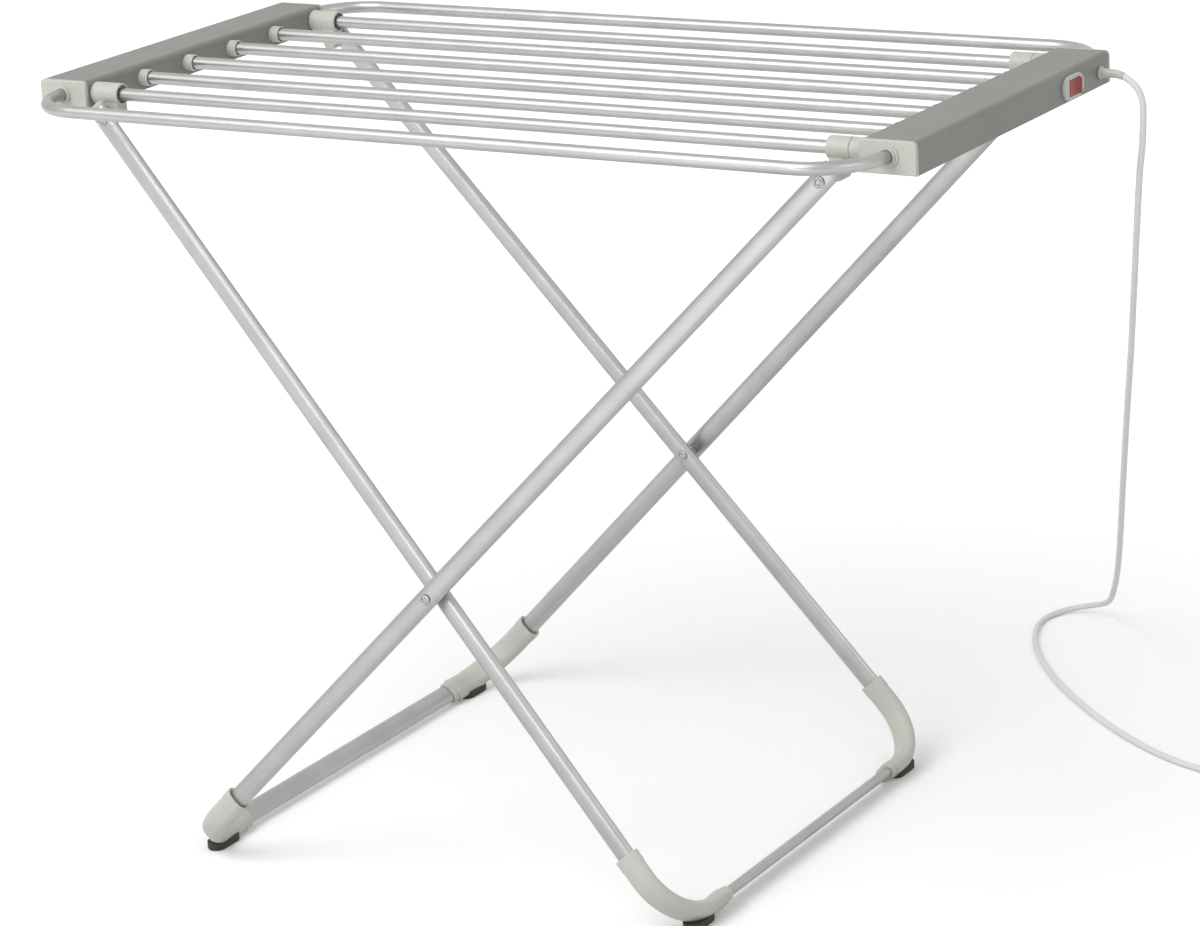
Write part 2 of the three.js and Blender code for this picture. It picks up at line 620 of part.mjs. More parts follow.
const SLIDER_END = SLIDER_START + SLIDER_LENGTH;
const MOUTH_START = SLIDER_END - SLIDER_MOUTH_DEPTH;
const SLIDER_FACE = INNER_TOP_Y - TUBE_THIN / 2 - 2 * CLEAR - RUNNING / 2;
const sliderMouth = rodX(
  SLIDER_MOUTH_DIAMETER, MOUTH_START, SLIDER_END + OVERRUN, OUTER_BAR_Y, BAR_Z, 20);
const sliderPinHole = rodY(
  PIN_DIAMETER + RUNNING, OUTER_BAR_Y - LUG_INNER + OVERRUN, SLIDER_FACE + OVERRUN, SLIDER_PIN_X, PIN_Z, 16);
const slider = cut(
  legCollar(SLIDER_START, SLIDER_END, SLIDER_PIN_X, SLIDER_FACE, BAR_DIAMETER + 2 * RUNNING),
  sliderMouth, sliderPinHole);
add(airer, 'front_slider_collar', mirrorY(slider), LIGHT_GREY);
add(airer, 'rear_slider_collar', slider, LIGHT_GREY);

// The fixed collar runs on past a groove to the rail, as a boss.
const FIXED_FACE = OUTER_TOP_Y - TUBE_THIN / 2 - OPEN_PIVOT_GAP;
const FIXED_COLLAR_END = FIXED_COLLAR_START + FIXED_COLLAR_LENGTH;
const GROOVE_END = FIXED_COLLAR_END + GROOVE_WIDTH;
const groove = cut(
  rodX(SLEEVE_DIAMETER + 2 * OVERRUN, FIXED_COLLAR_END, GROOVE_END, OUTER_BAR_Y, BAR_Z, 20),
  rodX(GROOVE_DIAMETER, FIXED_COLLAR_END - OVERRUN, FIXED_COLLAR_END + OVERRUN, OUTER_BAR_Y, BAR_Z, 20));
const fixedBore = BAR_DIAMETER + 2 * CLEAR;
const fixedCollar = cut(
  legCollar(FIXED_COLLAR_START, RIGHT_INNER - CLEAR, FIXED_PIN_X, FIXED_FACE, fixedBore), groove);
add(airer, 'front_fixed_collar', mirrorY(fixedCollar), LIGHT_GREY);
add(airer, 'rear_fixed_collar', fixedCollar, LIGHT_GREY);

// Leg frames

// Each frame is built flat: x runs up the legs from the crossbar, y to the
// back and z out of the frame. Its group then leans it into place.
function frameGroup(footX, lean) {
  const group = new THREE.Group();
  group.position.set(footX, 0, FOOT_AXIS_Z);
  group.rotation.y = lean;
  airer.add(group);
  return group;
}

// A straight tube between two points of the frame, wide along the frame's z.
function flatTube(shape, from, to, curveSegments) {
  const along = to.clone().sub(from);
  const depth = along.length();
  const geometry = extrusion(shape, depth, curveSegments);
  const wide = new THREE.Vector3(0, 0, 1);
  along.normalize();
  const thin = along.clone().cross(wide);
  const turn = new THREE.Matrix4().makeBasis(wide, thin, along);
  return geometry.applyMatrix4(turn.setPosition(from));
}

function flatRodY(diameter, y0, y1, x, sides = 12) {
  return rodY(diameter, y0, y1, x, 0, sides);
}

// A domed rivet head on the outer side of a leg.
function rivetHead(face, x) {
  const head = new THREE.CylinderGeometry(
    PIN_HEAD_DIAMETER / 2 - PIN_HEAD_HEIGHT / 2, PIN_HEAD_DIAMETER / 2, PIN_HEAD_HEIGHT, 12);
  return head.translate(x, face + PIN_HEAD_HEIGHT / 2, 0);
}

function legFrame(word, sizes) {
  const { group, upper, lower, topY, footY, pinInner, rivetHere } = sizes;
  const length = upper + lower;
  const slope = (footY - topY) / length;
  const yAt = (x) => footY - slope * x;
  const upLeg = new THREE.Vector3(1, -slope, 0).normalize();
  const cornerPoint = new THREE.Vector3(0, footY, 0);
  const tubeStart = cornerPoint.clone().addScaledVector(upLeg, ELBOW_LEG_REACH - ELBOW_OVERLAP);
  const tubeTopX = length + TUBE_ABOVE_PIN;
  const tubeTop = new THREE.Vector3(tubeTopX, yAt(tubeTopX), 0);
  const hole = PIN_DIAMETER + RUNNING;
  const reachY = TUBE_THIN + OVERRUN;

  const pinHole = flatRodY(hole, topY - reachY, topY + reachY, length);
  const rivetHole = flatRodY(hole, yAt(lower) - reachY, yAt(lower) + reachY, lower);
  const tubeSection = stadium(TUBE_WIDE, TUBE_THIN, TUBE_WALL);
  const leg = cut(flatTube(tubeSection, tubeStart, tubeTop, 3), pinHole, rivetHole);
  add(group, `${word}_leg_front`, mirrorY(leg), ALUMINIUM);
  add(group, `${word}_leg_rear`, leg, ALUMINIUM);

  const crossbarHalf = footY - ELBOW_CROSSBAR_REACH + ELBOW_OVERLAP;
  const crossbar = flatTube(
    tubeSection,
    new THREE.Vector3(0, -crossbarHalf, 0), new THREE.Vector3(0, crossbarHalf, 0), 3);
  add(group, `${word}_crossbar`, crossbar, ALUMINIUM);

  const elbowPath = bentPath(
    new THREE.Vector3(0, footY - ELBOW_CROSSBAR_REACH, 0), [cornerPoint],
    cornerPoint.clone().addScaledVector(upLeg, ELBOW_LEG_REACH), ELBOW_BEND, 6);
  const bore = { wide: TUBE_WIDE + 2 * CLEAR, thin: TUBE_THIN + 2 * CLEAR };
  const elbowShape = stadium(ELBOW_WIDE, ELBOW_THIN);
  elbowShape.holes.push(stadiumPath(new THREE.Path(), bore.wide, bore.thin));
  const elbow = sweep(elbowShape, elbowPath, 3);
  add(group, `${word}_elbow_front`, mirrorY(elbow), LIGHT_GREY);
  add(group, `${word}_elbow_rear`, elbow, LIGHT_GREY);

  const plugPinch = 2 * (TUBE_WALL + CLEAR);
  const plugBody = flatTube(
    stadium(TUBE_WIDE - plugPinch, TUBE_THIN - plugPinch),
    new THREE.Vector3(tubeTopX - PLUG_DEPTH, yAt(tubeTopX - PLUG_DEPTH), 0),
    new THREE.Vector3(tubeTopX + PLUG_HEAD / 2, yAt(tubeTopX + PLUG_HEAD / 2), 0), 3);
  const headStart = tubeTopX + CLEAR;
  const plugHead = flatTube(
    stadium(TUBE_WIDE, TUBE_THIN),
    new THREE.Vector3(headStart, yAt(headStart), 0),
    new THREE.Vector3(headStart + PLUG_HEAD, yAt(headStart + PLUG_HEAD), 0), 3);
  const plug = cut(join(plugBody, plugHead), pinHole);
  add(group, `${word}_leg_plug_front`, mirrorY(plug), LIGHT_GREY);
  add(group, `${word}_leg_plug_rear`, plug, LIGHT_GREY);

  const outerFace = topY + TUBE_THIN / 2 + 2 * CLEAR;
  const pin = join(
    flatRodY(PIN_DIAMETER, pinInner, outerFace + PIN_HEAD_HEIGHT / 2, length),
    rivetHead(outerFace, length));
  add(group, `${word}_pivot_pin_front`, mirrorY(pin), STEEL);
  add(group, `${word}_pivot_pin_rear`, pin, STEEL);

  const elbowTool = sweep(stadium(ELBOW_WIDE + 2 * CLEAR, ELBOW_THIN + 2 * CLEAR), elbowPath, 3);
  if (rivetHere) addCrossingRivets(group, yAt(lower), lower);
  return { elbowTool, group, word, footY };
}

// The crossing rivets turn with the inner frame. A shoulder on each keeps the
// two legs apart.
function addCrossingRivets(group, innerY, x) {
  const outerSlope = (OUTER_FOOT_Y - OUTER_TOP_Y) / OUTER_LENGTH;
  const outerY = OUTER_FOOT_Y - outerSlope * OUTER_LOWER;
  const faceGap = TUBE_THIN / 2 + 2 * CLEAR;
  const headOuter = outerY + faceGap;
  const headInner = innerY - faceGap;
  const rivet = join(
    flatRodY(SHOULDER_DIAMETER, innerY + faceGap, outerY - faceGap, x),
    flatRodY(PIN_DIAMETER, headInner - PIN_HEAD_HEIGHT / 2, headOuter + PIN_HEAD_HEIGHT / 2, x),
    rivetHead(headOuter, x),
    mirrorY(rivetHead(-headInner, x)));
  add(group, 'crossing_rivet_front', mirrorY(rivet), STEEL);
  add(group, 'crossing_rivet_rear', rivet, STEEL);
}

// A rubber pad fills the wedge between the floor and the underside of an elbow.
function footPads(frame) {
  frame.group.updateWorldMatrix(true, false);
  const elbowInWorld = frame.elbowTool.clone().applyMatrix4(frame.group.matrixWorld);
  const normal = new THREE.Vector3(0, 0, 1).transformDirection(frame.group.matrixWorld);
  const contactX = frame.group.position.x - Math.sign(normal.z) * normal.x * (ELBOW_WIDE - ELBOW_THIN) / 2;
  const middleY = frame.footY - PAD_CORNER_DISTANCE;
  const outline = stadium(PAD_LENGTH, PAD_WIDTH);
  const block = extrudeAlongZ(outline, 0, PAD_HEIGHT, 3).rotateZ(Math.PI / 2).translate(contactX, middleY, 0);
  const pad = cut(block, elbowInWorld);
  add(airer, `${frame.word}_foot_pad_front`, mirrorY(pad), RUBBER);
  add(airer, `${frame.word}_foot_pad_rear`, pad, RUBBER);
}

const innerFrame = legFrame('inner', {
  group: frameGroup(INNER_FOOT_X, Math.PI + INNER_ANGLE),
  upper: INNER_UPPER,
  lower: INNER_LOWER,
  topY: INNER_TOP_Y,
  footY: INNER_FOOT_Y,
  pinInner: OUTER_BAR_Y - LUG_INNER + OVERRUN + CLEAR,
  rivetHere: true,
});
const outerFrame = legFrame('outer', {
  group: frameGroup(OUTER_FOOT_X, -OUTER_ANGLE),
  upper: OUTER_UPPER,
  lower: OUTER_LOWER,
  topY: OUTER_TOP_Y,
  footY: OUTER_FOOT_Y,
  pinInner: OUTER_TOP_Y - TUBE_THIN / 2,
  rivetHere: false,
});
footPads(innerFrame);
footPads(outerFrame);

// Switch

const SWITCH_Z = BAR_Z - SWITCH_DROP;
const skirtHalfLength = WINDOW_LENGTH / 2 + SLEEVE_WALL;
const skirtHalfHeight = WINDOW_HEIGHT / 2 + SLEEVE_WALL;
const skirtBack = RIGHT_OUTER - RAIL_WALL - 2 * CLEAR;
const bodyFront = skirtBack - CLEAR;
const rockerHalf = WINDOW_HEIGHT / 2 - RUNNING;

// A box centred on the switch's axis, between two places on X.
function switchBox(x0, x1, halfLength, halfHeight) {
  return box(x0, x1, -halfLength, halfLength, -halfHeight, halfHeight).translate(0, SWITCH_Y, SWITCH_Z);
}

function switchWindow(x0, x1) {
  return switchBox(x0, x1, WINDOW_LENGTH / 2, WINDOW_HEIGHT / 2);
}

function trunnion(diameter, reach) {
  return rodZ(diameter, -rockerHalf - reach, rockerHalf + reach, 0, 0);
}

const bezelFace = RIGHT_OUTER + BEZEL_PROUD;
const bezelPlate = extrudeAlongX(stadium(BEZEL_LENGTH, BEZEL_HEIGHT), RIGHT_OUTER + CLEAR, bezelFace, 5);
bezelPlate.translate(0, SWITCH_Y, SWITCH_Z);
const bezelSkirt = switchBox(skirtBack, RIGHT_OUTER + BEZEL_PROUD / 2, skirtHalfLength, skirtHalfHeight);
const trunnionHoles = trunnion(TRUNNION_DIAMETER + 2 * CLEAR, TRUNNION_REACH + CLEAR);
trunnionHoles.translate(RIGHT_OUTER + ROCKER_PIVOT_PROUD, SWITCH_Y, SWITCH_Z);
const bezel = cut(
  join(bezelPlate, bezelSkirt),
  switchWindow(skirtBack - OVERRUN, bezelFace + OVERRUN),
  trunnionHoles);
add(airer, 'switch_bezel', bezel, LIGHT_GREY);

const switchBody = cut(
  switchBox(bodyFront - SWITCH_BODY_DEPTH, bodyFront, skirtHalfLength, skirtHalfHeight),
  switchWindow(bodyFront - SWITCH_POCKET_DEPTH, bodyFront + OVERRUN));
add(airer, 'switch_body', switchBody, RUBBER);

// The rocker's section: two facets that dip to the middle, and round ends
// centred on its pivot so that it clears the window as it tips.
function rockerShape() {
  const rimAngle = Math.asin(ROCKER_RIM / ROCKER_RADIUS);
  const backAngle = Math.asin(ROCKER_BACK / ROCKER_RADIUS);
  const shape = new THREE.Shape();
  shape.moveTo(ROCKER_DIP, 0);
  shape.lineTo(ROCKER_RIM, ROCKER_CORNER);
  shape.absarc(0, 0, ROCKER_RADIUS, Math.PI / 2 - rimAngle, Math.PI / 2 + backAngle);
  shape.absarc(0, 0, ROCKER_RADIUS, 1.5 * Math.PI - backAngle, 1.5 * Math.PI + rimAngle);
  return shape;
}
const rocker = join(
  extrudeAlongZ(rockerShape(), -rockerHalf, rockerHalf, 3),
  trunnion(TRUNNION_DIAMETER, TRUNNION_REACH));
const rockerMesh = add(airer, 'rocker_button', rocker, RED);
rockerMesh.rotation.z = -ROCKER_TILT;
rockerMesh.position.set(RIGHT_OUTER + ROCKER_PIVOT_PROUD, SWITCH_Y, SWITCH_Z);

// Wiring

const terminalBottom = RIGHT.bottom + BASE_THICKNESS + CLEAR;
const terminalX = RIGHT_INNER + TERMINAL_INSET;
add(airer, 'terminal_block', box(
  terminalX, terminalX + TERMINAL_WIDTH, -TERMINAL_LENGTH / 2, TERMINAL_LENGTH / 2,
  terminalBottom, terminalBottom + TERMINAL_HEIGHT), LIGHT_GREY);

// The gland is moulded on the cord, whose inner end runs on inside the rail
// past the switch to the terminal block.
const glandZ = BAR_Z - GLAND_DROP;
const nutFace = RIGHT_OUTER - RAIL_WALL - CLEAR;
const switchBack = bodyFront - SWITCH_BODY_DEPTH;
const leadX = (switchBack + RIGHT.middle + POST_DIAMETER / 2) / 2;

// Points on the bend of the cord's exit: straight out, then down.
function exitPoint(turn) {
  return new THREE.Vector3(
    RIGHT_OUTER + EXIT_STRAIGHT + RELIEF_BEND * Math.sin(turn),
    GLAND_Y,
    glandZ - RELIEF_BEND * (1 - Math.cos(turn)));
}

// The strain relief follows that bend and tapers to the cord's thickness.
const reliefTurn = (GLAND_FLANGE + RELIEF_LENGTH - EXIT_STRAIGHT) / RELIEF_BEND;
function strainRelief(arcSteps) {
  const points = [new THREE.Vector3(RIGHT_OUTER + GLAND_FLANGE / 2, GLAND_Y, glandZ)];
  const tangents = [new THREE.Vector3(1, 0, 0)];
  for (let k = 0; k <= arcSteps; k += 1) {
    const turn = (reliefTurn * k) / arcSteps;
    points.push(exitPoint(turn));
    tangents.push(new THREE.Vector3(Math.cos(turn), 0, -Math.sin(turn)));
  }
  const endShare = (CORD_DIAMETER + 2 * CLEAR) / RELIEF_DIAMETER;
  return taper(sweep(circleShape(RELIEF_DIAMETER), new StationPath(points, tangents), 8), points, endShare);
}

const gland = join(
  rodX(GLAND_FLANGE_DIAMETER, RIGHT_OUTER + CLEAR, RIGHT_OUTER + CLEAR + GLAND_FLANGE, GLAND_Y, glandZ),
  rodX(GLAND_NECK_DIAMETER, nutFace - GLAND_NUT / 2, RIGHT_OUTER + GLAND_FLANGE, GLAND_Y, glandZ, 16),
  rodX(GLAND_NUT_DIAMETER, nutFace - GLAND_NUT, nutFace, GLAND_Y, glandZ, 16),
  strainRelief(4),
  rodX(LEAD_DIAMETER, leadX - LEAD_DIAMETER / 2, nutFace - GLAND_NUT / 2, GLAND_Y, glandZ, 10),
  rodY(LEAD_DIAMETER, TERMINAL_LENGTH / 2 + CLEAR, GLAND_Y + LEAD_DIAMETER / 2, leadX, glandZ, 10));
add(airer, 'cord_gland', gland, LIGHT_GREY);

// Cord

const CORD_RADIUS = CORD_DIAMETER / 2;
const COIL_START_X = COIL_X - CORD_DIAMETER;
const COIL_START_Y = COIL_Y - COIL_OUTER_RADIUS;
// The free cord's route: down from the strain relief in a slack curve to the
// floor behind the airer, round in a small loop, and off towards the coil.
const CORD_ROUTE = [
  [500.2, 173, 724.6], [505.8, 173.1, 712.4], [506, 173.9, 697], [504.4, 175, 672], [500, 178, 645],
  [491, 189, 586], [476, 214, 521], [455, 252, 451], [427, 303, 374], [392, 370, 289],
  [352, 450, 205], [316, 523, 141], [282, 590, 89], [256, 638, 54], [237, 670, 32],
  [218, 693, 18], [196, 703, 9.5], [175, 695, 5], [164, 675, 3.4], [163, 650, 3.2],
  [172, 618, 3.2], [186, 587, 3.2], [205, 556, 3.2], [227, 526, 3.2], [256, 491, 3.2],
  [295, 451, 3.2], [346, 405, 3.2], [402, 363, 3.2], [457, 332, 3.2], [512, 315, 3.2],
];
const cordTurn = reliefTurn + CLEAR / RELIEF_BEND;
const cordPoints = [
  exitPoint(cordTurn),
  exitPoint(cordTurn + CORD_RADIUS / RELIEF_BEND),
  ...CORD_ROUTE.map(([x, y, z]) => new THREE.Vector3(x, y, z)),
  new THREE.Vector3(COIL_START_X - CORD_DIAMETER, COIL_START_Y, CORD_RADIUS),
  new THREE.Vector3(COIL_START_X - CLEAR, COIL_START_Y, CORD_RADIUS),
];
const cordCurve = new THREE.CatmullRomCurve3(cordPoints, false, 'centripetal');
const freeCord = new THREE.ExtrudeGeometry(
  circleShape(CORD_DIAMETER), { steps: CORD_STEPS, extrudePath: cordCurve, curveSegments: 4 });
add(airer, 'mains_cord', freeCord, CORD_WHITE);

// The coil winds in along the floor, climbs half a turn and winds out on top.
function coilPoint(turn) {
  const half = COIL_TURNS / 2;
  const step = CORD_DIAMETER + COIL_TURN_GAP;
  const fromOuter = half - Math.abs(turn - half);
  const climb = THREE.MathUtils.smoothstep(turn, half - 1 / 4, half + 1 / 4);
  const radius = COIL_OUTER_RADIUS - step * fromOuter;
  const angle = 2 * Math.PI * turn - Math.PI / 2;
  return new THREE.Vector3(
    COIL_X + radius * Math.cos(angle),
    COIL_Y + radius * Math.sin(angle),
    CORD_RADIUS + (CORD_DIAMETER + COIL_LAYER_GAP) * climb);
}

function coilStations() {
  const points = [new THREE.Vector3(COIL_START_X, COIL_START_Y, CORD_RADIUS)];
  const count = COIL_TURNS * COIL_STEPS_PER_TURN;
  for (let i = 0; i <= count; i += 1) points.push(coilPoint(i / COIL_STEPS_PER_TURN));
  const last = points[points.length - 1];
  points.push(new THREE.Vector3(last.x + COIL_TAIL, last.y, last.z));
  const tangents = points.map((point, i) => {
    const before = points[Math.max(i - 1, 0)];
    const after = points[Math.min(i + 1, points.length - 1)];
    return after.clone().sub(before).normalize();
  });
  return new StationPath(points, tangents);
}

// Least clear distance between two stretches of the coil's tube.
function leastSelfGap(path) {
  const fine = [];
  for (let i = 0; i < path.steps; i += 1) {
    for (const share of [0, 1 / 3, 2 / 3]) fine.push(path.points[i].clone().lerp(path.points[i + 1], share));
  }
  let least = Infinity;
  for (let i = 0; i < fine.length; i += 1) {
    for (let j = i + COIL_STEPS_PER_TURN; j < fine.length; j += 1) {
      least = Math.min(least, fine[i].distanceTo(fine[j]) - CORD_DIAMETER);
    }
  }
  return least;
}

const coilPath = coilStations();
const coil = sweep(circleShape(CORD_DIAMETER), coilPath, 3);
add(airer, 'cord_coil', coil, CORD_WHITE);
console.log(`coil: least gap to itself ${leastSelfGap(coilPath).toFixed(2)} mm`);
console.log(`free cord: length ${cordCurve.getLength().toFixed(0)} mm`);

// Plug

const plugAxis = coilPath.points[coilPath.steps];
const tailStart = plugAxis.x + CLEAR;
const bodyStart = tailStart + PLUG_TAIL_LENGTH;
const bodyEnd = bodyStart + PLUG_BODY_LENGTH;

// The plug's outline from above: a narrow grip that widens to the pin face.
function plugOutline() {
  const shape = new THREE.Shape();
  const shoulderShare = 0.45;
  const shoulder = bodyStart + PLUG_BODY_LENGTH * shoulderShare;
  shape.moveTo(bodyStart, -PLUG_GRIP_WIDTH / 2);
  shape.lineTo(shoulder, -PLUG_GRIP_WIDTH / 2);
  shape.lineTo(bodyEnd, -PLUG_WIDTH / 2);
  shape.lineTo(bodyEnd, PLUG_WIDTH / 2);
  shape.lineTo(shoulder, PLUG_GRIP_WIDTH / 2);
  shape.lineTo(bodyStart, PLUG_GRIP_WIDTH / 2);
  return shape;
}
const insertStart = bodyEnd - PLUG_INSERT_DEPTH;
const plugSolid = join(
  extrudeAlongZ(plugOutline(), 0, PLUG_THICKNESS, 1).translate(0, plugAxis.y, 0),
  coneX(
    CORD_DIAMETER + 2 * CLEAR, PLUG_TAIL_DIAMETER,
    tailStart, bodyStart + PLUG_TAIL_DIAMETER, plugAxis.y, plugAxis.z, 16));

// The two pins stand on one insert, which fills a pocket in the plug's face.
function insertBox(grow, x0, x1) {
  const halfWidth = PLUG_INSERT_WIDTH / 2 + grow;
  const halfHeight = PLUG_INSERT_HEIGHT / 2 + grow;
  const insert = box(x0, x1, -halfWidth, halfWidth, -halfHeight, halfHeight);
  return insert.translate(0, plugAxis.y, PLUG_THICKNESS / 2);
}
add(airer, 'plug_body', cut(plugSolid, insertBox(CLEAR, insertStart - CLEAR, bodyEnd + OVERRUN)), CORD_WHITE);
const plugPins = [-1, 1].map((side) => rodX(
  PLUG_PIN_DIAMETER, insertStart + CLEAR, bodyEnd + PLUG_PIN_LENGTH,
  plugAxis.y + side * PLUG_PIN_SPACING / 2, PLUG_THICKNESS / 2, 12));
add(airer, 'plug_pins', join(insertBox(0, insertStart, bodyEnd), ...plugPins), STEEL);

export default airer;
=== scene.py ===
# %% [markdown]
# # A heated clothes airer, dressed around its CAD frame
#
# The real object is a folding table of aluminium bars. Six of them hold a
# heating cable and run between two hollow plastic rails, a bent bar goes
# round the front and one round the back, and two crossed pairs of legs carry
# it all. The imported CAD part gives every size, place and joint. This script
# builds each piece again with the roundness and the finish of the real one,
# and each new piece rides on the same moving body as the solid it replaces.

# %% Load the frame
import math
from types import SimpleNamespace

import bmesh
import bpy
from mathutils import Matrix, Vector


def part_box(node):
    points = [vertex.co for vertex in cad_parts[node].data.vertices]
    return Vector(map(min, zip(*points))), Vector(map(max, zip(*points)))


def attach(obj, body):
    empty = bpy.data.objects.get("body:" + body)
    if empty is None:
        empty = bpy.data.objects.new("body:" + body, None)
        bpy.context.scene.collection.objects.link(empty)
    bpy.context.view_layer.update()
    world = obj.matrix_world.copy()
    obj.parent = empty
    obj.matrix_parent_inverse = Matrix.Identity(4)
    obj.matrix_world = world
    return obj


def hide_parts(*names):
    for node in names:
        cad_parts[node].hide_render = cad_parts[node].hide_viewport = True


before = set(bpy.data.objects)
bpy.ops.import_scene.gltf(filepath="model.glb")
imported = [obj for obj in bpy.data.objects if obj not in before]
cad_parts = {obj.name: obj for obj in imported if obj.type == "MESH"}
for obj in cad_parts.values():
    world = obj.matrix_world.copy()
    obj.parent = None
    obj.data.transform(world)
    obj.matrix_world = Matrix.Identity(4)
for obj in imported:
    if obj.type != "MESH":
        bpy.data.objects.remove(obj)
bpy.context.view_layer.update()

# %% [markdown]
# ## Camera
#
# A camera could be placed by eye, but the legs' long slanted lines show every
# degree of error. So its place and turn come from solving where the bar ends,
# leg pins and feet of the CAD model fall in the photograph. The lens is long,
# which is why the two rails look almost parallel.

# %% Camera
MM = 0.001
camera_data = bpy.data.cameras.new("camera")
camera_data.sensor_width = 36
camera_data.lens = 117.98
camera_data.clip_end = 60
camera = bpy.data.objects.new("camera", camera_data)
to_right = Vector((0.854383, 0.516484, -0.057228))
to_top = Vector((-0.106654, 0.282075, 0.953446))
to_back = Vector((0.508582, -0.808504, 0.296085))
turn = Matrix((to_right, to_top, to_back)).transposed().to_4x4()
camera_place = Vector((1936.8, -3062.3, 1484.5)) * MM
camera.matrix_world = Matrix.Translation(camera_place) @ turn
bpy.context.scene.collection.objects.link(camera)
bpy.context.scene.camera = camera
print(f"camera: {camera.location.length:.2f} m from the middle of the floor, lens {camera_data.lens} mm")

# %% [markdown]
# ## Mains cord
#
# A light PVC mains lead, 6.4 mm thick, leaves the right rail through a gland,
# drops in a slack curve behind the airer, makes a small loop on the floor and
# runs out of the picture. What the photograph doesn't show is wound into a
# flat coil. The cord is one curve with a round bevel, because a curve keeps
# its centre line: its length can be measured, and no bend shows facets.
# The free run goes through chosen points, and the coil follows a formula.

# %% Mains cord
CORD_DIAMETER = 6.4
CORD_EXIT = Vector((464.03, 173, 735.943))
EXIT_STRAIGHT = 13
GLAND_FLANGE = 2.5
RELIEF_LENGTH = 22
RELIEF_BEND = 29
ROUTE_STEPS = 8
CORD_ROUTE = [
    (500.2, 173, 724.6), (505.8, 173.1, 712.4), (506, 173.9, 697), (504.4, 175, 672), (500, 178, 645),
    (491, 189, 586), (476, 214, 521), (455, 252, 451), (427, 303, 374), (392, 370, 289),
    (352, 450, 205), (316, 523, 141), (282, 590, 89), (256, 638, 54), (237, 670, 32),
    (218, 693, 18), (196, 703, 9.5), (175, 695, 5), (164, 675, 3.4), (163, 650, 3.2),
    (172, 618, 3.2), (186, 587, 3.2), (205, 556, 3.2), (227, 526, 3.2), (256, 491, 3.2),
    (295, 451, 3.2), (346, 405, 3.2), (402, 363, 3.2), (457, 332, 3.2), (512, 315, 3.2),
    (552.2, 312, 3.2), (558.3, 312, 3.2),
]
COIL_CENTRE = Vector((565, 352))
COIL_RADIUS = 40
COIL_TURNS = 3
COIL_STEPS = 48
COIL_TURN_GAP = 0.8
COIL_LAYER_GAP = 0.7
CLIMB_TURNS = 0.5
COIL_TAIL = 26
IN_PLUG = 6


def exit_point(turn):
    """A place on the bend by which the cord turns from straight out to down."""
    return CORD_EXIT + Vector((
        EXIT_STRAIGHT + RELIEF_BEND * math.sin(turn), 0, -RELIEF_BEND * (1 - math.cos(turn))))


def smooth_run(points, steps):
    """Points along a centripetal Catmull-Rom curve through the given points."""
    points = [Vector(p) for p in points]
    ends = [2 * points[0] - points[1]] + points + [2 * points[-1] - points[-2]]
    run = []
    for a, b, c, d in zip(ends, ends[1:], ends[2:], ends[3:]):
        knots = [0]
        for p, q in ((a, b), (b, c), (c, d)):
            knots.append(knots[-1] + (q - p).length ** 0.5)
        t0, t1, t2, t3 = knots
        for i in range(steps):
            t = t1 + (t2 - t1) * i / steps
            ab = a.lerp(b, (t - t0) / (t1 - t0))
            bc = b.lerp(c, (t - t1) / (t2 - t1))
            cd = c.lerp(d, (t - t2) / (t3 - t2))
            before = ab.lerp(bc, (t - t0) / (t2 - t0))
            after = bc.lerp(cd, (t - t1) / (t3 - t1))
            run.append(before.lerp(after, (t - t1) / (t2 - t1)))
    return run + [points[-1]]


def coil_point(turn):
    """A place on the coil: it winds in on the floor, climbs and winds out on top."""
    half = COIL_TURNS / 2
    share = min(max((turn - half + CLIMB_TURNS / 2) / CLIMB_TURNS, 0), 1)
    climb = share * share * (3 - 2 * share)
    radius = COIL_RADIUS - (CORD_DIAMETER + COIL_TURN_GAP) * (half - abs(turn - half))
    angle = 2 * math.pi * turn - math.pi / 2
    return Vector((
        COIL_CENTRE.x + radius * math.cos(angle),
        COIL_CENTRE.y + radius * math.sin(angle),
        CORD_DIAMETER / 2 + (CORD_DIAMETER + COIL_LAYER_GAP) * climb))


RELIEF_TURN = (GLAND_FLANGE + RELIEF_LENGTH - EXIT_STRAIGHT) / RELIEF_BEND
exit_line = [CORD_EXIT, CORD_EXIT + Vector((EXIT_STRAIGHT / 2, 0, 0))]
exit_line += [exit_point(RELIEF_TURN * share) for share in (0, 0.5, 1)]
cord_line = smooth_run(exit_line + CORD_ROUTE, ROUTE_STEPS)
cord_line += [coil_point(i / COIL_STEPS) for i in range(COIL_TURNS * COIL_STEPS + 1)]
PLUG_START = cord_line[-1] + Vector((COIL_TAIL, 0, 0))
cord_line.append(PLUG_START + Vector((IN_PLUG, 0, 0)))

cord_curve = bpy.data.curves.new("mains_cord", "CURVE")
cord_curve.dimensions = "3D"
cord_curve.bevel_depth = CORD_DIAMETER / 2 * MM
cord_curve.bevel_resolution = 5
cord_curve.use_fill_caps = True
spline = cord_curve.splines.new("POLY")
spline.points.add(len(cord_line) - 1)
for place, point in zip(spline.points, cord_line):
    place.co = (*(point * MM), 1)
cord = bpy.data.objects.new("mains_lead", cord_curve)
bpy.context.scene.collection.objects.link(cord)

# %% [markdown]
# ## Materials
#
# Every finish is mixed from nodes, so nothing depends on a picture file. One
# small function adds a node with its settings and links, one starts a
# material with its shader, and one lets a tone drive its colour and its
# roughness. Values that are the same all over a surface are typed on the
# shader itself, and only what varies comes through a link.

# %% Helpers for materials
def linear(hex_colour):
    """An sRGB hex colour such as "#c3c4bb" as the linear values that Blender works in."""
    channels = [int(hex_colour[i:i + 2], 16) / 255 for i in (1, 3, 5)]
    return (*((c / 12.92 if c <= 0.04045 else ((c + 0.055) / 1.055) ** 2.4) for c in channels), 1)


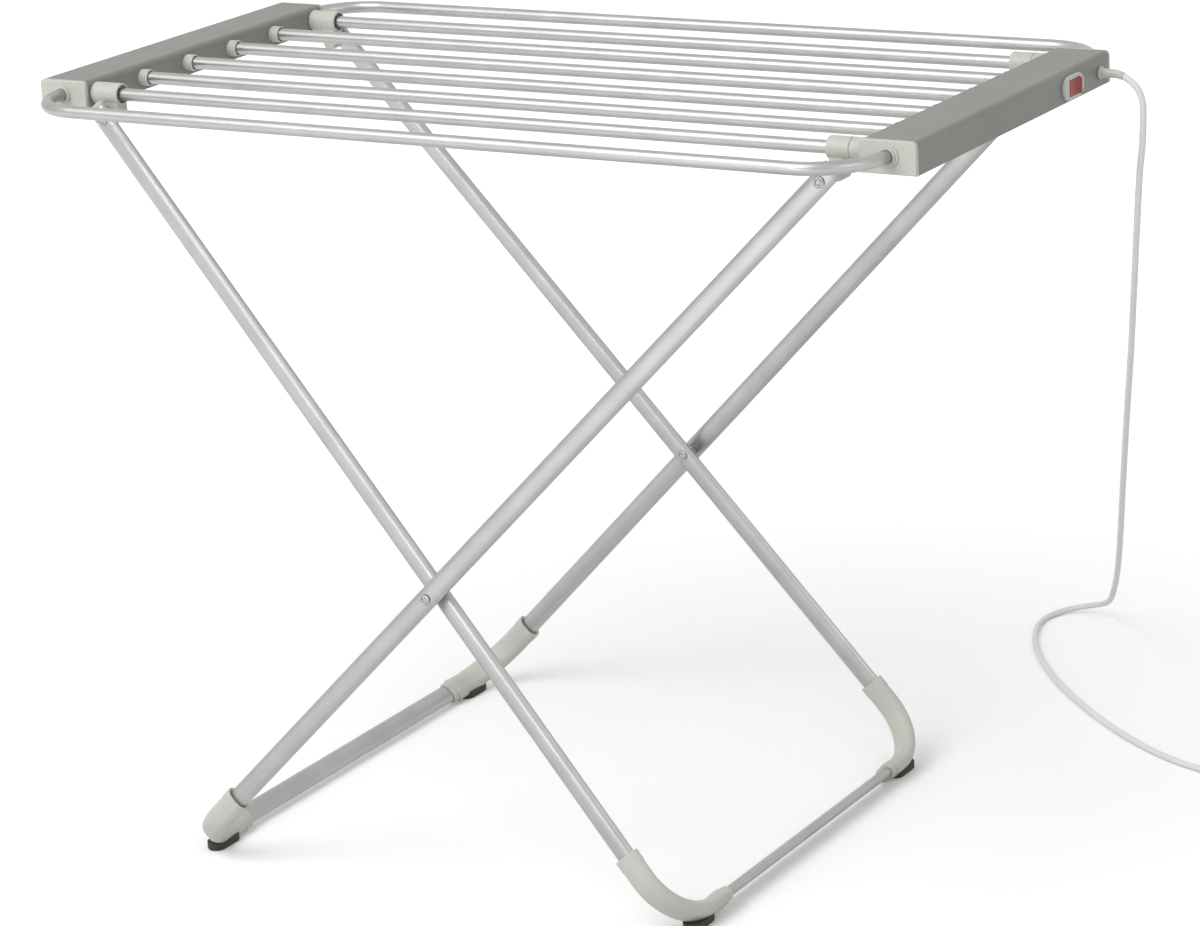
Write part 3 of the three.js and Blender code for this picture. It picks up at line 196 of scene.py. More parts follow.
def add_node(tree, kind, inputs=None, **settings):
    """Adds a node. Each input gets a value, or a link where it is given another node's output."""
    node = tree.nodes.new(kind)
    for name, value in settings.items():
        setattr(node, name, value)
    for socket, value in (inputs or {}).items():
        if isinstance(value, bpy.types.NodeSocket):
            tree.links.new(value, node.inputs[socket])
        else:
            node.inputs[socket].default_value = value
    return node


def start_material(name, **constants):
    """A new material with one Principled shader, and the constants set on its own sockets."""
    material = bpy.data.materials.new(name)
    material.use_nodes = True
    tree = material.node_tree
    tree.nodes.clear()
    sockets = {key.replace("_", " "): value for key, value in constants.items()}
    shader = add_node(tree, "ShaderNodeBsdfPrincipled", sockets)
    add_node(tree, "ShaderNodeOutputMaterial", {"Surface": shader.outputs[0]})
    return material, tree, shader


def vary(tree, shader, tone, colours, rough_tone, roughness):
    """Takes colour and roughness from their first to their second value as a tone goes from 0 to 1."""
    mix = add_node(tree, "ShaderNodeMix", {
        0: tone, 6: linear(colours[0]), 7: linear(colours[1])}, data_type="RGBA")
    rough = add_node(tree, "ShaderNodeMapRange", {
        "Value": rough_tone, "To Min": roughness[0], "To Max": roughness[1]})
    tree.links.new(mix.outputs[2], shader.inputs["Base Color"])
    tree.links.new(rough.outputs[0], shader.inputs["Roughness"])


# Two noises that are added stay between these values nearly everywhere.
TONE_SPAN = {"From Min": 0.6, "From Max": 1.4}
print("helpers: linear, add_node, start_material and vary")

# %% [markdown]
# ### Satin anodised aluminium
#
# The bars and legs are extruded tubes, drawn through a die and then etched
# and anodised. The die leaves very fine lines along the tube, and the etch
# makes the metal satin: reflections spread along soft bands. The lines follow
# each tube wherever it points, so they read a stored attribute with the
# length along the tube and the place on its section, in metres. Real die
# lines are about 0.05 mm apart. They are drawn here about 1 mm apart, which
# is the least that still shows.

# %% Satin anodised aluminium
LINE_SPACING = 1.0 * MM
LINE_LENGTH = 160 * MM
LINE_DEPTH = 0.02 * MM
STAIN = 35 * MM
# The roughness where the metal is darkest and where it is palest.
SATIN = (0.42, 0.36)


def drawn_aluminium(name, dark, pale):
    """Extruded and anodised aluminium, with die lines along each tube."""
    material, tree, shader = start_material(name, Metallic=1.0)
    place = add_node(tree, "ShaderNodeAttribute", attribute_name="tube_place")
    stretch = add_node(tree, "ShaderNodeMapping", {
        "Vector": place.outputs["Vector"],
        "Scale": (1 / LINE_LENGTH, 1 / LINE_SPACING, 1 / LINE_SPACING)})
    lines = add_node(tree, "ShaderNodeTexNoise", {"Vector": stretch.outputs[0], "Scale": 1.0, "Detail": 3.0})
    here = add_node(tree, "ShaderNodeTexCoord").outputs["Object"]
    cloud = add_node(tree, "ShaderNodeTexNoise", {"Vector": here, "Scale": 1 / STAIN, "Detail": 2.0})
    both = add_node(tree, "ShaderNodeMath", {
        0: lines.outputs["Fac"], 1: cloud.outputs["Fac"]}, operation="ADD")
    tone = add_node(tree, "ShaderNodeMapRange", {"Value": both.outputs[0], **TONE_SPAN}).outputs[0]
    vary(tree, shader, tone, (dark, pale), tone, SATIN)
    relief = add_node(tree, "ShaderNodeBump", {
        "Height": lines.outputs["Fac"], "Strength": 0.25, "Distance": LINE_DEPTH})
    tree.links.new(relief.outputs[0], shader.inputs["Normal"])
    return material


aluminium = drawn_aluminium("anodised_aluminium_drawn", "#a3a4a2", "#b3b4b2")
print("material:", aluminium.name)

# %% [markdown]
# ### Moulded plastics
#
# The rails are injection-moulded ABS in a mid grey. Their collars, caps and
# elbows are a paler, warmer grey plastic. Both moulds are spark-eroded, which
# prints a fine even grain of about 0.35 mm on the plastic and makes it matt.
# Large flat walls also show faint clouds where the melt flowed. The grain is
# a small bump, and the clouds a slight change of tone.

# %% Moulded plastics
GRAIN = 0.35 * MM
CLOUD = 60 * MM
# How far the roughness goes below and above the value that is given.
SMOOTHER, ROUGHER = 0.05, 0.08


def moulded_plastic(name, dark, pale, roughness, grain_depth):
    """Injection-moulded plastic with the fine grain of a spark-eroded mould."""
    material, tree, shader = start_material(name, IOR=1.52)
    here = add_node(tree, "ShaderNodeTexCoord").outputs["Object"]
    cloud = add_node(tree, "ShaderNodeTexNoise", {"Vector": here, "Scale": 1 / CLOUD, "Detail": 4.0})
    # One cell of this noise is as wide as a raised grain and the hollow beside it.
    speck = add_node(tree, "ShaderNodeTexNoise", {"Vector": here, "Scale": 0.5 / GRAIN, "Detail": 2.0})
    both = add_node(tree, "ShaderNodeMath", {
        0: cloud.outputs["Fac"], 1: speck.outputs["Fac"]}, operation="ADD")
    tone = add_node(tree, "ShaderNodeMapRange", {"Value": both.outputs[0], **TONE_SPAN}).outputs[0]
    roughness_span = (roughness - SMOOTHER, roughness + ROUGHER)
    vary(tree, shader, tone, (dark, pale), speck.outputs["Fac"], roughness_span)
    relief = add_node(tree, "ShaderNodeBump", {
        "Height": speck.outputs["Fac"], "Strength": 0.3, "Distance": grain_depth})
    tree.links.new(relief.outputs[0], shader.inputs["Normal"])
    return material


rail_plastic = moulded_plastic("grey_abs_spark_eroded", "#7b7b76", "#888883", 0.5, 0.03 * MM)
pale_plastic = moulded_plastic("pale_grey_plastic_moulded", "#b8b8b0", "#c5c5be", 0.48, 0.03 * MM)
cord_plastic = moulded_plastic("pvc_cord_extruded", "#dadad6", "#e4e4e1", 0.42, 0.01 * MM)
dark_plastic = moulded_plastic("black_nylon_moulded", "#262622", "#34342f", 0.5, 0.02 * MM)
rubber = moulded_plastic("black_rubber_moulded", "#262621", "#38382f", 0.72, 0.05 * MM)
silicone = moulded_plastic("red_silicone_extruded", "#a64833", "#b5533c", 0.45, 0.01 * MM)
print("materials: four plastics, a rubber and a silicone")

# %% [markdown]
# ### Plated steel and the red rocker
#
# Rivets, pins, screws and plug pins are zinc- or nickel-plated steel: brighter
# than the aluminium, with faint tumbling marks in every direction. The rocker
# is dyed polycarbonate: its colour deepens in soft clouds, and its surface
# has a soft gloss. Both vary in spots, so one function makes both.

# %% Plated steel and red polycarbonate
def spotted(name, spot, detail, colours, roughness, **constants):
    """A finish whose colour and roughness vary together in spots of a given size."""
    material, tree, shader = start_material(name, **constants)
    here = add_node(tree, "ShaderNodeTexCoord").outputs["Object"]
    spots = add_node(tree, "ShaderNodeTexNoise", {"Vector": here, "Scale": 1 / spot, "Detail": detail})
    vary(tree, shader, spots.outputs["Fac"], colours, spots.outputs["Fac"], roughness)
    return material


steel = spotted("zinc_plated_steel_tumbled", 1.2 * MM, 4.0, ("#9c9d9b", "#b6b6b3"), (0.22, 0.4), Metallic=1.0)
red_plastic = spotted(
    "red_polycarbonate_polished", 9 * MM, 2.0, ("#7c1f20", "#a5302f"), (0.28, 0.4),
    IOR=1.5, Coat_Weight=0.1, Coat_Roughness=0.1)
print("materials:", steel.name, "and", red_plastic.name)

# %% [markdown]
# ## Places from the frame
#
# The platform's pieces stand square to the axes, so the boxes of the CAD
# solids give their sizes. The leg frames lean, where a box tells too little:
# their pins and the axes of their crossbars are given as points, and each
# frame gets a matrix from its own flat drawing board into place. There x runs
# up the legs from the crossbar, y to the back and z out of the frame.

# %% Places
RING_HEIGHT = 3
CLEAR = 0.3


def box(node):
    """The low and the high corner of a CAD solid's box, in millimetres."""
    return [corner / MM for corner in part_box(node)]


def rail_sizes(word, out):
    """Where a rail's cover lies, in millimetres. Out is the way from it to the other rail."""
    low, high = box(f"{word}_rail_cover")
    return SimpleNamespace(
        low=low.x, high=high.x, bottom=low.z, top=high.z, half=high.y, middle=(low.x + high.x) / 2,
        inner=high.x if out > 0 else low.x, out=out)


LEFT = rail_sizes("left", 1)
RIGHT = rail_sizes("right", -1)
RAILS = (("left", LEFT), ("right", RIGHT))
RAIL_END = box("left_rear_end_cap")[1].y - RING_HEIGHT
BAR_BOXES = [box(f"heated_bar_{i}") for i in range(1, 7)]
BAR_YS = [(low.y + high.y) / 2 for low, high in BAR_BOXES]
BAR_Z = (BAR_BOXES[0][0].z + BAR_BOXES[0][1].z) / 2
BAR_PITCH = BAR_YS[1] - BAR_YS[0]

INNER_PIN = Vector((-394.7, 0, 717.943))
INNER_FOOT = Vector((220.104, 0, 13.5))
OUTER_PIN = Vector((383.029, 0, 717.943))
OUTER_FOOT = Vector((-314.760, 0, 13.5))


def board_to_world(foot, pin):
    """The matrix from a leg frame's drawing board, in metres, to its place."""
    up = (pin - foot).normalized()
    back = Vector((0, 1, 0))
    return Matrix.Translation(foot * MM) @ Matrix((up, back, up.cross(back))).transposed().to_4x4()


INNER_PLACE = board_to_world(INNER_FOOT, INNER_PIN)
OUTER_PLACE = board_to_world(OUTER_FOOT, OUTER_PIN)
INNER_LENGTH = (INNER_PIN - INNER_FOOT).length
OUTER_LENGTH = (OUTER_PIN - OUTER_FOOT).length
print(f"bars at z {BAR_Z:.1f} mm; legs {INNER_LENGTH:.1f} and {OUTER_LENGTH:.1f} mm long")

# %% [markdown]
# ## Tubes
#
# Straight bars, bent bars, flat-sided legs and the plastic elbows are all one
# idea: a section carried along a path. It could be extruded by hand for each
# piece, but a Geometry Nodes tree says it once. The tree rounds the corners
# of the path and builds the section as a rectangle with filleted corners.
# A drawn tube's flat sides are never quite flat, and their slight dome is
# what lets light run softly across a leg, so the section thins by a few
# tenths of a millimetre away from its middle. The tree then sweeps it, and
# stores on each point how far along the tube it is and where on the section,
# which the aluminium reads. A scale stored on the path lets an elbow step at
# its ends. The result becomes a plain mesh, and a Solidify modifier gives it
# its wall.

# %% The tube tree
ROUND_STEPS = 12
DOME = 0.6


def start_tree(name, output, inputs):
    """A new tree of geometry nodes with its output and inputs, and what its input node gives."""
    tree = bpy.data.node_groups.new(name, "GeometryNodeTree")
    for socket, kind in inputs.items():
        tree.interface.new_socket(socket, in_out="INPUT", socket_type=f"NodeSocket{kind}")
    tree.interface.new_socket(output, in_out="OUTPUT", socket_type="NodeSocketGeometry")
    return tree, add_node(tree, "NodeGroupInput").outputs


def tube_tree():
    """Builds the node tree that sweeps a rounded section along the object's own edges."""
    tree, given = start_tree("tube_along_path", "Tube", {
        "Path": "Geometry", "Wide": "Float", "Thin": "Float", "Section points": "Int", "Bend": "Float",
        "Bend steps": "Int", "Closed": "Bool", "Material": "Material"})
    path = add_node(tree, "GeometryNodeMeshToCurve", {"Mesh": given["Path"]})
    bent = add_node(tree, "GeometryNodeFilletCurve", {
        "Curve": path.outputs[0], "Radius": given["Bend"], "Count": given["Bend steps"],
        "Limit Radius": True}, mode="POLY")
    level = add_node(tree, "GeometryNodeSetCurveNormal", {"Curve": bent.outputs[0]}, mode="Z_UP")
    step = add_node(tree, "GeometryNodeInputNamedAttribute", {"Name": "section_scale"}, data_type="FLOAT")
    along = add_node(tree, "GeometryNodeSplineParameter")
    path_kept = add_node(tree, "GeometryNodeCaptureAttribute", domain="POINT")
    path_kept.capture_items.new("FLOAT", "Length")
    tree.links.new(level.outputs[0], path_kept.inputs["Geometry"])
    tree.links.new(along.outputs["Length"], path_kept.inputs["Length"])
    # A hair under half the thickness leaves the straight sides a length.
    half = add_node(tree, "ShaderNodeMath", {0: given["Thin"], 1: 0.4999}, operation="MULTIPLY")
    section = add_node(tree, "GeometryNodeCurvePrimitiveQuadrilateral", {
        "Width": given["Thin"], "Height": given["Wide"]})
    round_section = add_node(tree, "GeometryNodeFilletCurve", {
        "Curve": section.outputs[0], "Radius": half.outputs[0], "Count": ROUND_STEPS,
        "Limit Radius": True}, mode="POLY")
    even = add_node(tree, "GeometryNodeResampleCurve", {
        "Curve": round_section.outputs[0], "Count": given["Section points"]}, mode="COUNT")
    position = add_node(tree, "GeometryNodeInputPosition")
    there = add_node(tree, "ShaderNodeSeparateXYZ", {0: position.outputs[0]})
    # Each x of the section shrinks to x * (1 - (2 y / wide) ** 2 * DOME * (1 - thin / wide)).
    steps = [
        ("slim", "DIVIDE", given["Thin"], given["Wide"], 0), ("dome", "MULTIPLY_ADD", "slim", -DOME, DOME),
        ("out", "DIVIDE", there.outputs["Y"], given["Wide"], 0), ("square", "MULTIPLY", "out", "out", 0),
        ("fall", "MULTIPLY", "square", "dome", 0), ("keep", "MULTIPLY_ADD", "fall", -4.0, 1.0),
        ("thinner", "MULTIPLY", there.outputs["X"], "keep", 0)]
    made = {}
    for name, operation, *values in steps:
        values = [made[value] if isinstance(value, str) else value for value in values]
        made[name] = add_node(tree, "ShaderNodeMath", dict(enumerate(values)), operation=operation).outputs[0]
    domed_place = add_node(tree, "ShaderNodeCombineXYZ", {"X": made["thinner"], "Y": there.outputs["Y"]})
    domed = add_node(tree, "GeometryNodeSetPosition", {
        "Geometry": even.outputs[0], "Position": domed_place.outputs[0]})
    section_kept = add_node(tree, "GeometryNodeCaptureAttribute", domain="POINT")
    section_kept.capture_items.new("VECTOR", "Place")
    tree.links.new(domed.outputs[0], section_kept.inputs["Geometry"])
    tree.links.new(position.outputs[0], section_kept.inputs["Place"])
    swept = add_node(tree, "GeometryNodeCurveToMesh", {
        "Curve": path_kept.outputs["Geometry"], "Profile Curve": section_kept.outputs["Geometry"],
        "Scale": step.outputs["Attribute"], "Fill Caps": given["Closed"]})
    across = add_node(tree, "ShaderNodeSeparateXYZ", {0: section_kept.outputs["Place"]})
    joined = add_node(tree, "ShaderNodeCombineXYZ", {
        "X": path_kept.outputs["Length"], "Y": across.outputs["X"], "Z": across.outputs["Y"]})
    stored = add_node(tree, "GeometryNodeStoreNamedAttribute", {
        "Geometry": swept.outputs[0], "Name": "tube_place", "Value": joined.outputs[0]},
        data_type="FLOAT_VECTOR", domain="POINT")
    real = add_node(tree, "GeometryNodeRealizeInstances", {"Geometry": stored.outputs[0]})
    done = add_node(tree, "GeometryNodeSetMaterial", {
        "Geometry": real.outputs[0], "Material": given["Material"]})
    add_node(tree, "NodeGroupOutput", {"Tube": done.outputs[0]})
    return tree


TUBE_TREE = tube_tree()
print(f"tube tree: {len(TUBE_TREE.nodes)} nodes")

# %% [markdown]
# ## Helpers that shape solids
#
# Moulded pieces start from four plain shapes: a tube from the tree, an
# outline pushed straight, a profile turned about an axis, and a copy of a
# tube closed at its ends. Their edges are rounded first, because a boolean
# leaves seams that a later bevel tears, and then they are joined and cut.
# Weighted normals keep the large flat walls flat beside the rounded edges.

# %% Modifiers, tubes and finishing
SECTION_POINTS = 64
MERGE_DISTANCE = 0.001
SHARP_ANGLE = 35


def through(mesh, tree=None, inputs=None, modifiers=()):
    """The mesh after a node tree and any further modifiers, as a plain mesh."""
    maker = bpy.data.objects.new("maker", mesh)
    bpy.context.scene.collection.objects.link(maker)
    if tree:
        nodes = maker.modifiers.new("nodes", "NODES")
        nodes.node_group = tree
        for socket in tree.interface.items_tree:
            if socket.in_out == "INPUT" and socket.name in inputs:
                nodes[socket.identifier] = inputs[socket.name]
    for kind, settings in modifiers:
        extra = maker.modifiers.new(kind.lower(), kind)
        for key, value in settings.items():
            setattr(extra, key, value)
    bpy.context.view_layer.update()
    seen = maker.evaluated_get(bpy.context.evaluated_depsgraph_get())
    result = bpy.data.meshes.new_from_object(seen)
    bpy.data.objects.remove(maker)
    return result


def set_outward(mesh):
    """Merges doubled points and turns every face outwards."""
    shape = bmesh.new()
    shape.from_mesh(mesh)
    bmesh.ops.remove_doubles(shape, verts=shape.verts, dist=MERGE_DISTANCE * MM)
    bmesh.ops.recalc_face_normals(shape, faces=shape.faces)
    shape.to_mesh(mesh)
    shape.free()
    return mesh


def tube(path, wide, thin, wall, material=None, bend=0.001, bend_steps=1, scales=None, place=None):
    """A tube along a path in millimetres, wide across the path's z. With no wall it is solid."""
    line = bpy.data.meshes.new("path")
    edges = [(i, i + 1) for i in range(len(path) - 1)]
    line.from_pydata([Vector(point) * MM for point in path], edges, [])
    scale = line.attributes.new("section_scale", "FLOAT", "POINT")
    scale.data.foreach_set("value", scales or [1.0] * len(path))
    mesh = through(line, TUBE_TREE, {
        "Wide": wide * MM, "Thin": thin * MM, "Section points": SECTION_POINTS, "Bend": bend * MM,
        "Bend steps": bend_steps, "Closed": not wall, "Material": material})
    if place:
        mesh.transform(place)
    set_outward(mesh)
    if wall:
        mesh = through(mesh, modifiers=[("SOLIDIFY", {"thickness": wall * MM, "offset": -1})])
    return mesh


def finish_piece(name, mesh, material, body, nodes):
    """An object for the mesh, shaded, riding on its body and standing for its CAD nodes."""
    mesh.materials.clear()
    mesh.materials.append(material)
    mesh.polygons.foreach_set("material_index", [0] * len(mesh.polygons))
    mesh.shade_smooth()
    mesh.set_sharp_from_angle(angle=math.radians(SHARP_ANGLE))
    mesh = through(mesh, modifiers=[("WEIGHTED_NORMAL", {"keep_sharp": True})])
    mesh.name = name
    piece = bpy.data.objects.new(name, mesh)
    bpy.context.scene.collection.objects.link(piece)
    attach(piece, body)
    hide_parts(*nodes)
    return piece


def mirrored(mesh):
    """A copy of a rear piece for the front, with its faces turned outwards again."""
    copy = mesh.copy()
    copy.transform(Matrix.Diagonal((1, -1, 1, 1)))
    return set_outward(copy)


def finish_pair(name, mesh, material, body, node):
    """A rear piece and its mirror image, whose name and CAD node say front where the first say rear."""
    finish_piece(name, mesh, material, body, [node])
    front_name, front_node = name.replace("rear", "front"), node.replace("rear", "front")
    finish_piece(front_name, mirrored(mesh), material, body, [front_node])


# %% Prisms, turned solids, rounding and booleans
TURN_STEPS = 48
EDGE_ANGLE = 30
# In millimetres, how near an edge is to the face it lies on, and how far a cutter runs past a solid.
ON_FACE = 0.1
OVERRUN = 2


def rounded(corners, steps=6):
    """An outline through corners given as (a, b, radius), each rounded by an arc."""
    points = []
    for before, here, after in zip(corners[-1:] + corners[:-1], corners, corners[1:] + corners[:1]):
        spot, radius = Vector(here[:2]), here[2]
        if not radius:
            points.append(tuple(spot))
            continue
        to_before = (Vector(before[:2]) - spot).normalized()
        to_after = (Vector(after[:2]) - spot).normalized()
        half = to_before.angle(to_after) / 2
        centre = spot + (to_before + to_after).normalized() * radius / math.sin(half)
        first = spot + to_before * radius / math.tan(half) - centre
        last = spot + to_after * radius / math.tan(half) - centre
        for i in range(steps + 1):
            points.append(tuple(centre + first.lerp(last, i / steps).normalized() * radius))
    return points


def stadium(wide, thin, a=0, b=0, steps=12):
    """The outline of two half circles joined by straight sides, wide along its first axis."""
    points = []
    for side in (1, -1):
        for i in range(steps + 1):
            angle = math.pi * (i / steps - 0.5)
            points.append((
                a + side * ((wide - thin) / 2 + thin / 2 * math.cos(angle)),
                b + side * thin / 2 * math.sin(angle)))
    return points


def upright(outline):
    """An outline turned so that its wide side lies along its second axis."""
    return [(b, a) for a, b in outline]


def rectangle(low_a, high_a, low_b, high_b, radius=0):
    """The outline of a rectangle with rounded corners."""
    corners = [(low_a, low_b), (high_a, low_b), (high_a, high_b), (low_a, high_b)]
    return rounded([(a, b, radius) for a, b in corners])


def centred(a, b, half_a, half_b, radius=0):
    """The outline of a rectangle round a middle point, from its half sides."""
    return rectangle(a - half_a, a + half_a, b - half_b, b + half_b, radius)


def prism(outline, low, high, axis):
    """A solid with an outline of the two other axes, pushed along x, y or z from low to high."""
    order = {"x": (2, 0, 1), "y": (0, 2, 1), "z": (0, 1, 2)}[axis]
    count = len(outline)
    points = [(a, b, level) for level in (low, high) for a, b in outline]
    points = [Vector([point[i] for i in order]) * MM for point in points]
    sides = [(i, (i + 1) % count, (i + 1) % count + count, i + count) for i in range(count)]
    mesh = bpy.data.meshes.new("prism")
    mesh.from_pydata(points, [], sides + [tuple(range(count)), tuple(range(count, 2 * count))])
    return set_outward(mesh)


def turned(profile, start, axis, steps=TURN_STEPS):
    """A solid of revolution from a closed profile of (distance along the axis, radius)."""
    axis = Vector(axis).normalized()
    side = axis.orthogonal().normalized()
    other = axis.cross(side)
    shape = bmesh.new()
    rings = []
    for along, radius in profile:
        centre = Vector(start) + axis * along
        turns = [2 * math.pi * i / steps for i in range(steps if radius else 1)]
        spokes = [side * math.cos(a) + other * math.sin(a) for a in turns]
        ring = [shape.verts.new((centre + spoke * radius) * MM) for spoke in spokes]
        rings.append(ring * (steps // len(ring)))
    for ring, following in zip(rings, rings[1:] + rings[:1]):
        for i in range(steps):
            corners = (ring[i], ring[i - 1], following[i - 1], following[i])
            corners = list(dict.fromkeys(corners))
            if len(corners) > 2:
                shape.faces.new(corners)
    mesh = bpy.data.meshes.new("turned")
    shape.to_mesh(mesh)
    shape.free()
    return set_outward(mesh)


def rod(diameter, start, end, steps=TURN_STEPS):
    """A plain round rod between two points."""
    along, radius = Vector(end) - Vector(start), diameter / 2
    return turned([(0, 0), (0, radius), (along.length, radius), (along.length, 0)], start, along, steps)


def softened(mesh, width, where=None):
    """Rounds the sharp edges of a mesh, or those whose middle, in millimetres, passes a test."""
    shape = bmesh.new()
    shape.from_mesh(mesh)
    edges = [edge for edge in shape.edges if edge.calc_face_angle(0) > math.radians(EDGE_ANGLE)]
    if where:
        edges = [edge for edge in edges if where((edge.verts[0].co + edge.verts[1].co) / 2 / MM)]
    bmesh.ops.bevel(
        shape, geom=edges, offset=width * MM, segments=3, profile=0.5, affect="EDGES", clamp_overlap=True)
    shape.to_mesh(mesh)
    shape.free()
    return mesh


def combined(base, added=(), cut=()):
    """A mesh after some parts are joined on and then others are cut away."""
    for operation, parts in (("UNION", added), ("DIFFERENCE", cut)):
        tools = [bpy.data.objects.new("tool", part) for part in parts]
        for tool in tools:
            bpy.context.scene.collection.objects.link(tool)
        base = through(base, modifiers=[
            ("BOOLEAN", {"object": tool, "operation": operation, "solver": "EXACT"}) for tool in tools])
        for tool in tools:
            bpy.data.objects.remove(tool)
    return base


print("helpers: through, tube, prism, turned, softened, combined, finish_piece, finish_pair")

# %% [markdown]
# ## Heated bars and side bars
#
# The six heated bars are alike and evenly spaced, so one bar is swept and a
# second small tree repeats it along y. The side bars are 12 mm tube too, bent
# at both ends on a 60 mm radius, and their ends go in through rings on the
# end caps. Their walls are 1 mm.

# %% A tree that repeats a shape along y
def row_tree():
    """Builds the node tree that sets copies of the object's own mesh at an even pitch along y."""
    tree, given = start_tree("row_along_y", "Row", {
        "Shape": "Geometry", "Count": "Int", "Pitch": "Float", "Material": "Material"})
    step = add_node(tree, "ShaderNodeCombineXYZ", {"Y": given["Pitch"]})
    line = add_node(tree, "GeometryNodeMeshLine", {"Count": given["Count"], "Offset": step.outputs[0]})
    copies = add_node(tree, "GeometryNodeInstanceOnPoints", {
        "Points": line.outputs[0], "Instance": given["Shape"]})
    real = add_node(tree, "GeometryNodeRealizeInstances", {"Geometry": copies.outputs[0]})
    done = add_node(tree, "GeometryNodeSetMaterial", {
        "Geometry": real.outputs[0], "Material": given["Material"]})
    add_node(tree, "NodeGroupOutput", {"Row": done.outputs[0]})
    return tree


ROW_TREE = row_tree()
print(f"row tree: {len(ROW_TREE.nodes)} nodes")

# %% Heated bars and side bars
BAR_DIAMETER = 12
BAR_WALL = 1
SIDE_BAR_OFFSET = 80
SIDE_BAR_BEND = 60
SIDE_BAR_INSERT = 18
bar_ends = [(corner.x, BAR_YS[0], BAR_Z) for corner in BAR_BOXES[0]]
one_bar = tube(bar_ends, BAR_DIAMETER, BAR_DIAMETER, BAR_WALL, aluminium)
bars = through(one_bar, ROW_TREE, {"Count": len(BAR_YS), "Pitch": BAR_PITCH * MM, "Material": aluminium})
finish_piece("heated_bars", bars, aluminium, "platform", [f"heated_bar_{i}" for i in range(1, 7)])

side_y = BAR_YS[-1] + SIDE_BAR_OFFSET
inside = RAIL_END - SIDE_BAR_INSERT
corners = [(LEFT.middle, inside), (LEFT.middle, side_y), (RIGHT.middle, side_y), (RIGHT.middle, inside)]
side_bar = tube(
    [(x, y, BAR_Z) for x, y in corners], BAR_DIAMETER, BAR_DIAMETER, BAR_WALL, aluminium,
    bend=SIDE_BAR_BEND, bend_steps=20)
finish_pair("rear_side_bar_tube", side_bar, aluminium, "platform", "rear_side_bar")
print(f"heated bars: {len(bars.polygons)} faces; side bars: {len(side_bar.polygons)} faces each")

# %% [markdown]
# ## Leg frames
#
# Each frame is two long legs and a crossbar of flat-sided tube, 20 by 10 mm,
# joined by two plastic elbows that the tubes push into. The wide side of the
# tube stands across the frame. An elbow has an even wall and a bend of 54 mm.
# Its last 9 mm at the crossbar is a narrower neck behind a raised rim, and
# its end at the leg swells into a lip, as the photograph shows.

# %% Legs, crossbars and elbows
TUBE_WIDE, TUBE_THIN, TUBE_WALL = 20, 10, 1.2
ELBOW_WIDE, ELBOW_THIN, ELBOW_WALL, ELBOW_BEND = 26, 16, 2.7, 54
ELBOW_STEPS = 16
LEG_REACH, CROSSBAR_REACH, OVERLAP = 82, 84, 24
TUBE_ABOVE_PIN = 12
# Along an elbow from its two ends, the distance and the scale of the section there.
NECK = [(0, 0.92), (9, 0.92), (9.3, 1.06), (10.8, 1.06), (11.4, 1.0)]
LIP = [(12, 1.0), (10.5, 1.045), (0.8, 1.045), (0, 1.02)]
# Along y, the middle of a rear leg at its pin and at its foot, and the pin's inner end.
FRAMES = {
    "inner": {"place": INNER_PLACE, "length": INNER_LENGTH, "pin": INNER_PIN, "foot": INNER_FOOT,
              "top_y": 199, "foot_y": 247, "pin_start": 174.3},
    "outer": {"place": OUTER_PLACE, "length": OUTER_LENGTH, "pin": OUTER_PIN, "foot": OUTER_FOOT,
              "top_y": 215.3, "foot_y": 268.7, "pin_start": 210.3},
}


def leg_point(sizes, x):
    """The middle of a rear leg at a distance up from the crossbar's axis."""
    slope = (sizes["foot_y"] - sizes["top_y"]) / sizes["length"]
    return Vector((x, sizes["foot_y"] - slope * x, 0))


def elbow_path(sizes):
    """Points from an elbow's neck round its corner to its lip, and the scale of the section at each."""
    corner = leg_point(sizes, 0)
    up = (leg_point(sizes, sizes["length"]) - corner).normalized()
    points = [corner - Vector((0, CROSSBAR_REACH - along, 0)) for along, _ in NECK]
    points.append(corner)
    points += [corner + up * (LEG_REACH - back) for back, _ in LIP]
    return points, [scale for _, scale in NECK] + [1.0] + [scale for _, scale in LIP]


for frame_name, sizes in FRAMES.items():
    place, body = sizes["place"], f"{frame_name}_frame"
    half = sizes["foot_y"] - CROSSBAR_REACH + OVERLAP
    crossbar = tube([(0, -half, 0), (0, half, 0)], TUBE_WIDE, TUBE_THIN, TUBE_WALL, aluminium, place=place)
    finish_piece(f"{frame_name}_crossbar_tube", crossbar, aluminium, body, [f"{frame_name}_crossbar"])
    corner = leg_point(sizes, 0)
    sizes["top"] = leg_point(sizes, sizes["length"] + TUBE_ABOVE_PIN)
    sizes["up"] = (sizes["top"] - corner).normalized()
    foot = corner + sizes["up"] * (LEG_REACH - OVERLAP)
    leg = tube([foot, sizes["top"]], TUBE_WIDE, TUBE_THIN, TUBE_WALL, aluminium, place=place)
    finish_pair(f"{frame_name}_leg_rear_tube", leg, aluminium, body, f"{frame_name}_leg_rear")
    points, scales = elbow_path(sizes)
    elbow = tube(
        points, ELBOW_WIDE, ELBOW_THIN, ELBOW_WALL, pale_plastic,
        bend=ELBOW_BEND, bend_steps=ELBOW_STEPS, scales=scales, place=place)
    finish_pair(f"{frame_name}_elbow_rear_moulding", elbow, pale_plastic, body, f"{frame_name}_elbow_rear")
print(f"leg frames: 2 crossbars, 4 legs and 4 elbows of {len(elbow.polygons)} faces")

# %% [markdown]
# ### Leg ends
#
# A moulded plug closes the top of each leg. Its head is as big as the tube and
# domed a little, and its body fits inside the tube's wall. A pin with a low
# head goes through plug and tube. Where the frames cross, a rivet with a
# shoulder joins them. These are tubular rivets: a thin flange lies on the
# tube, and inside it stands a small rolled ring round the rivet's hole.

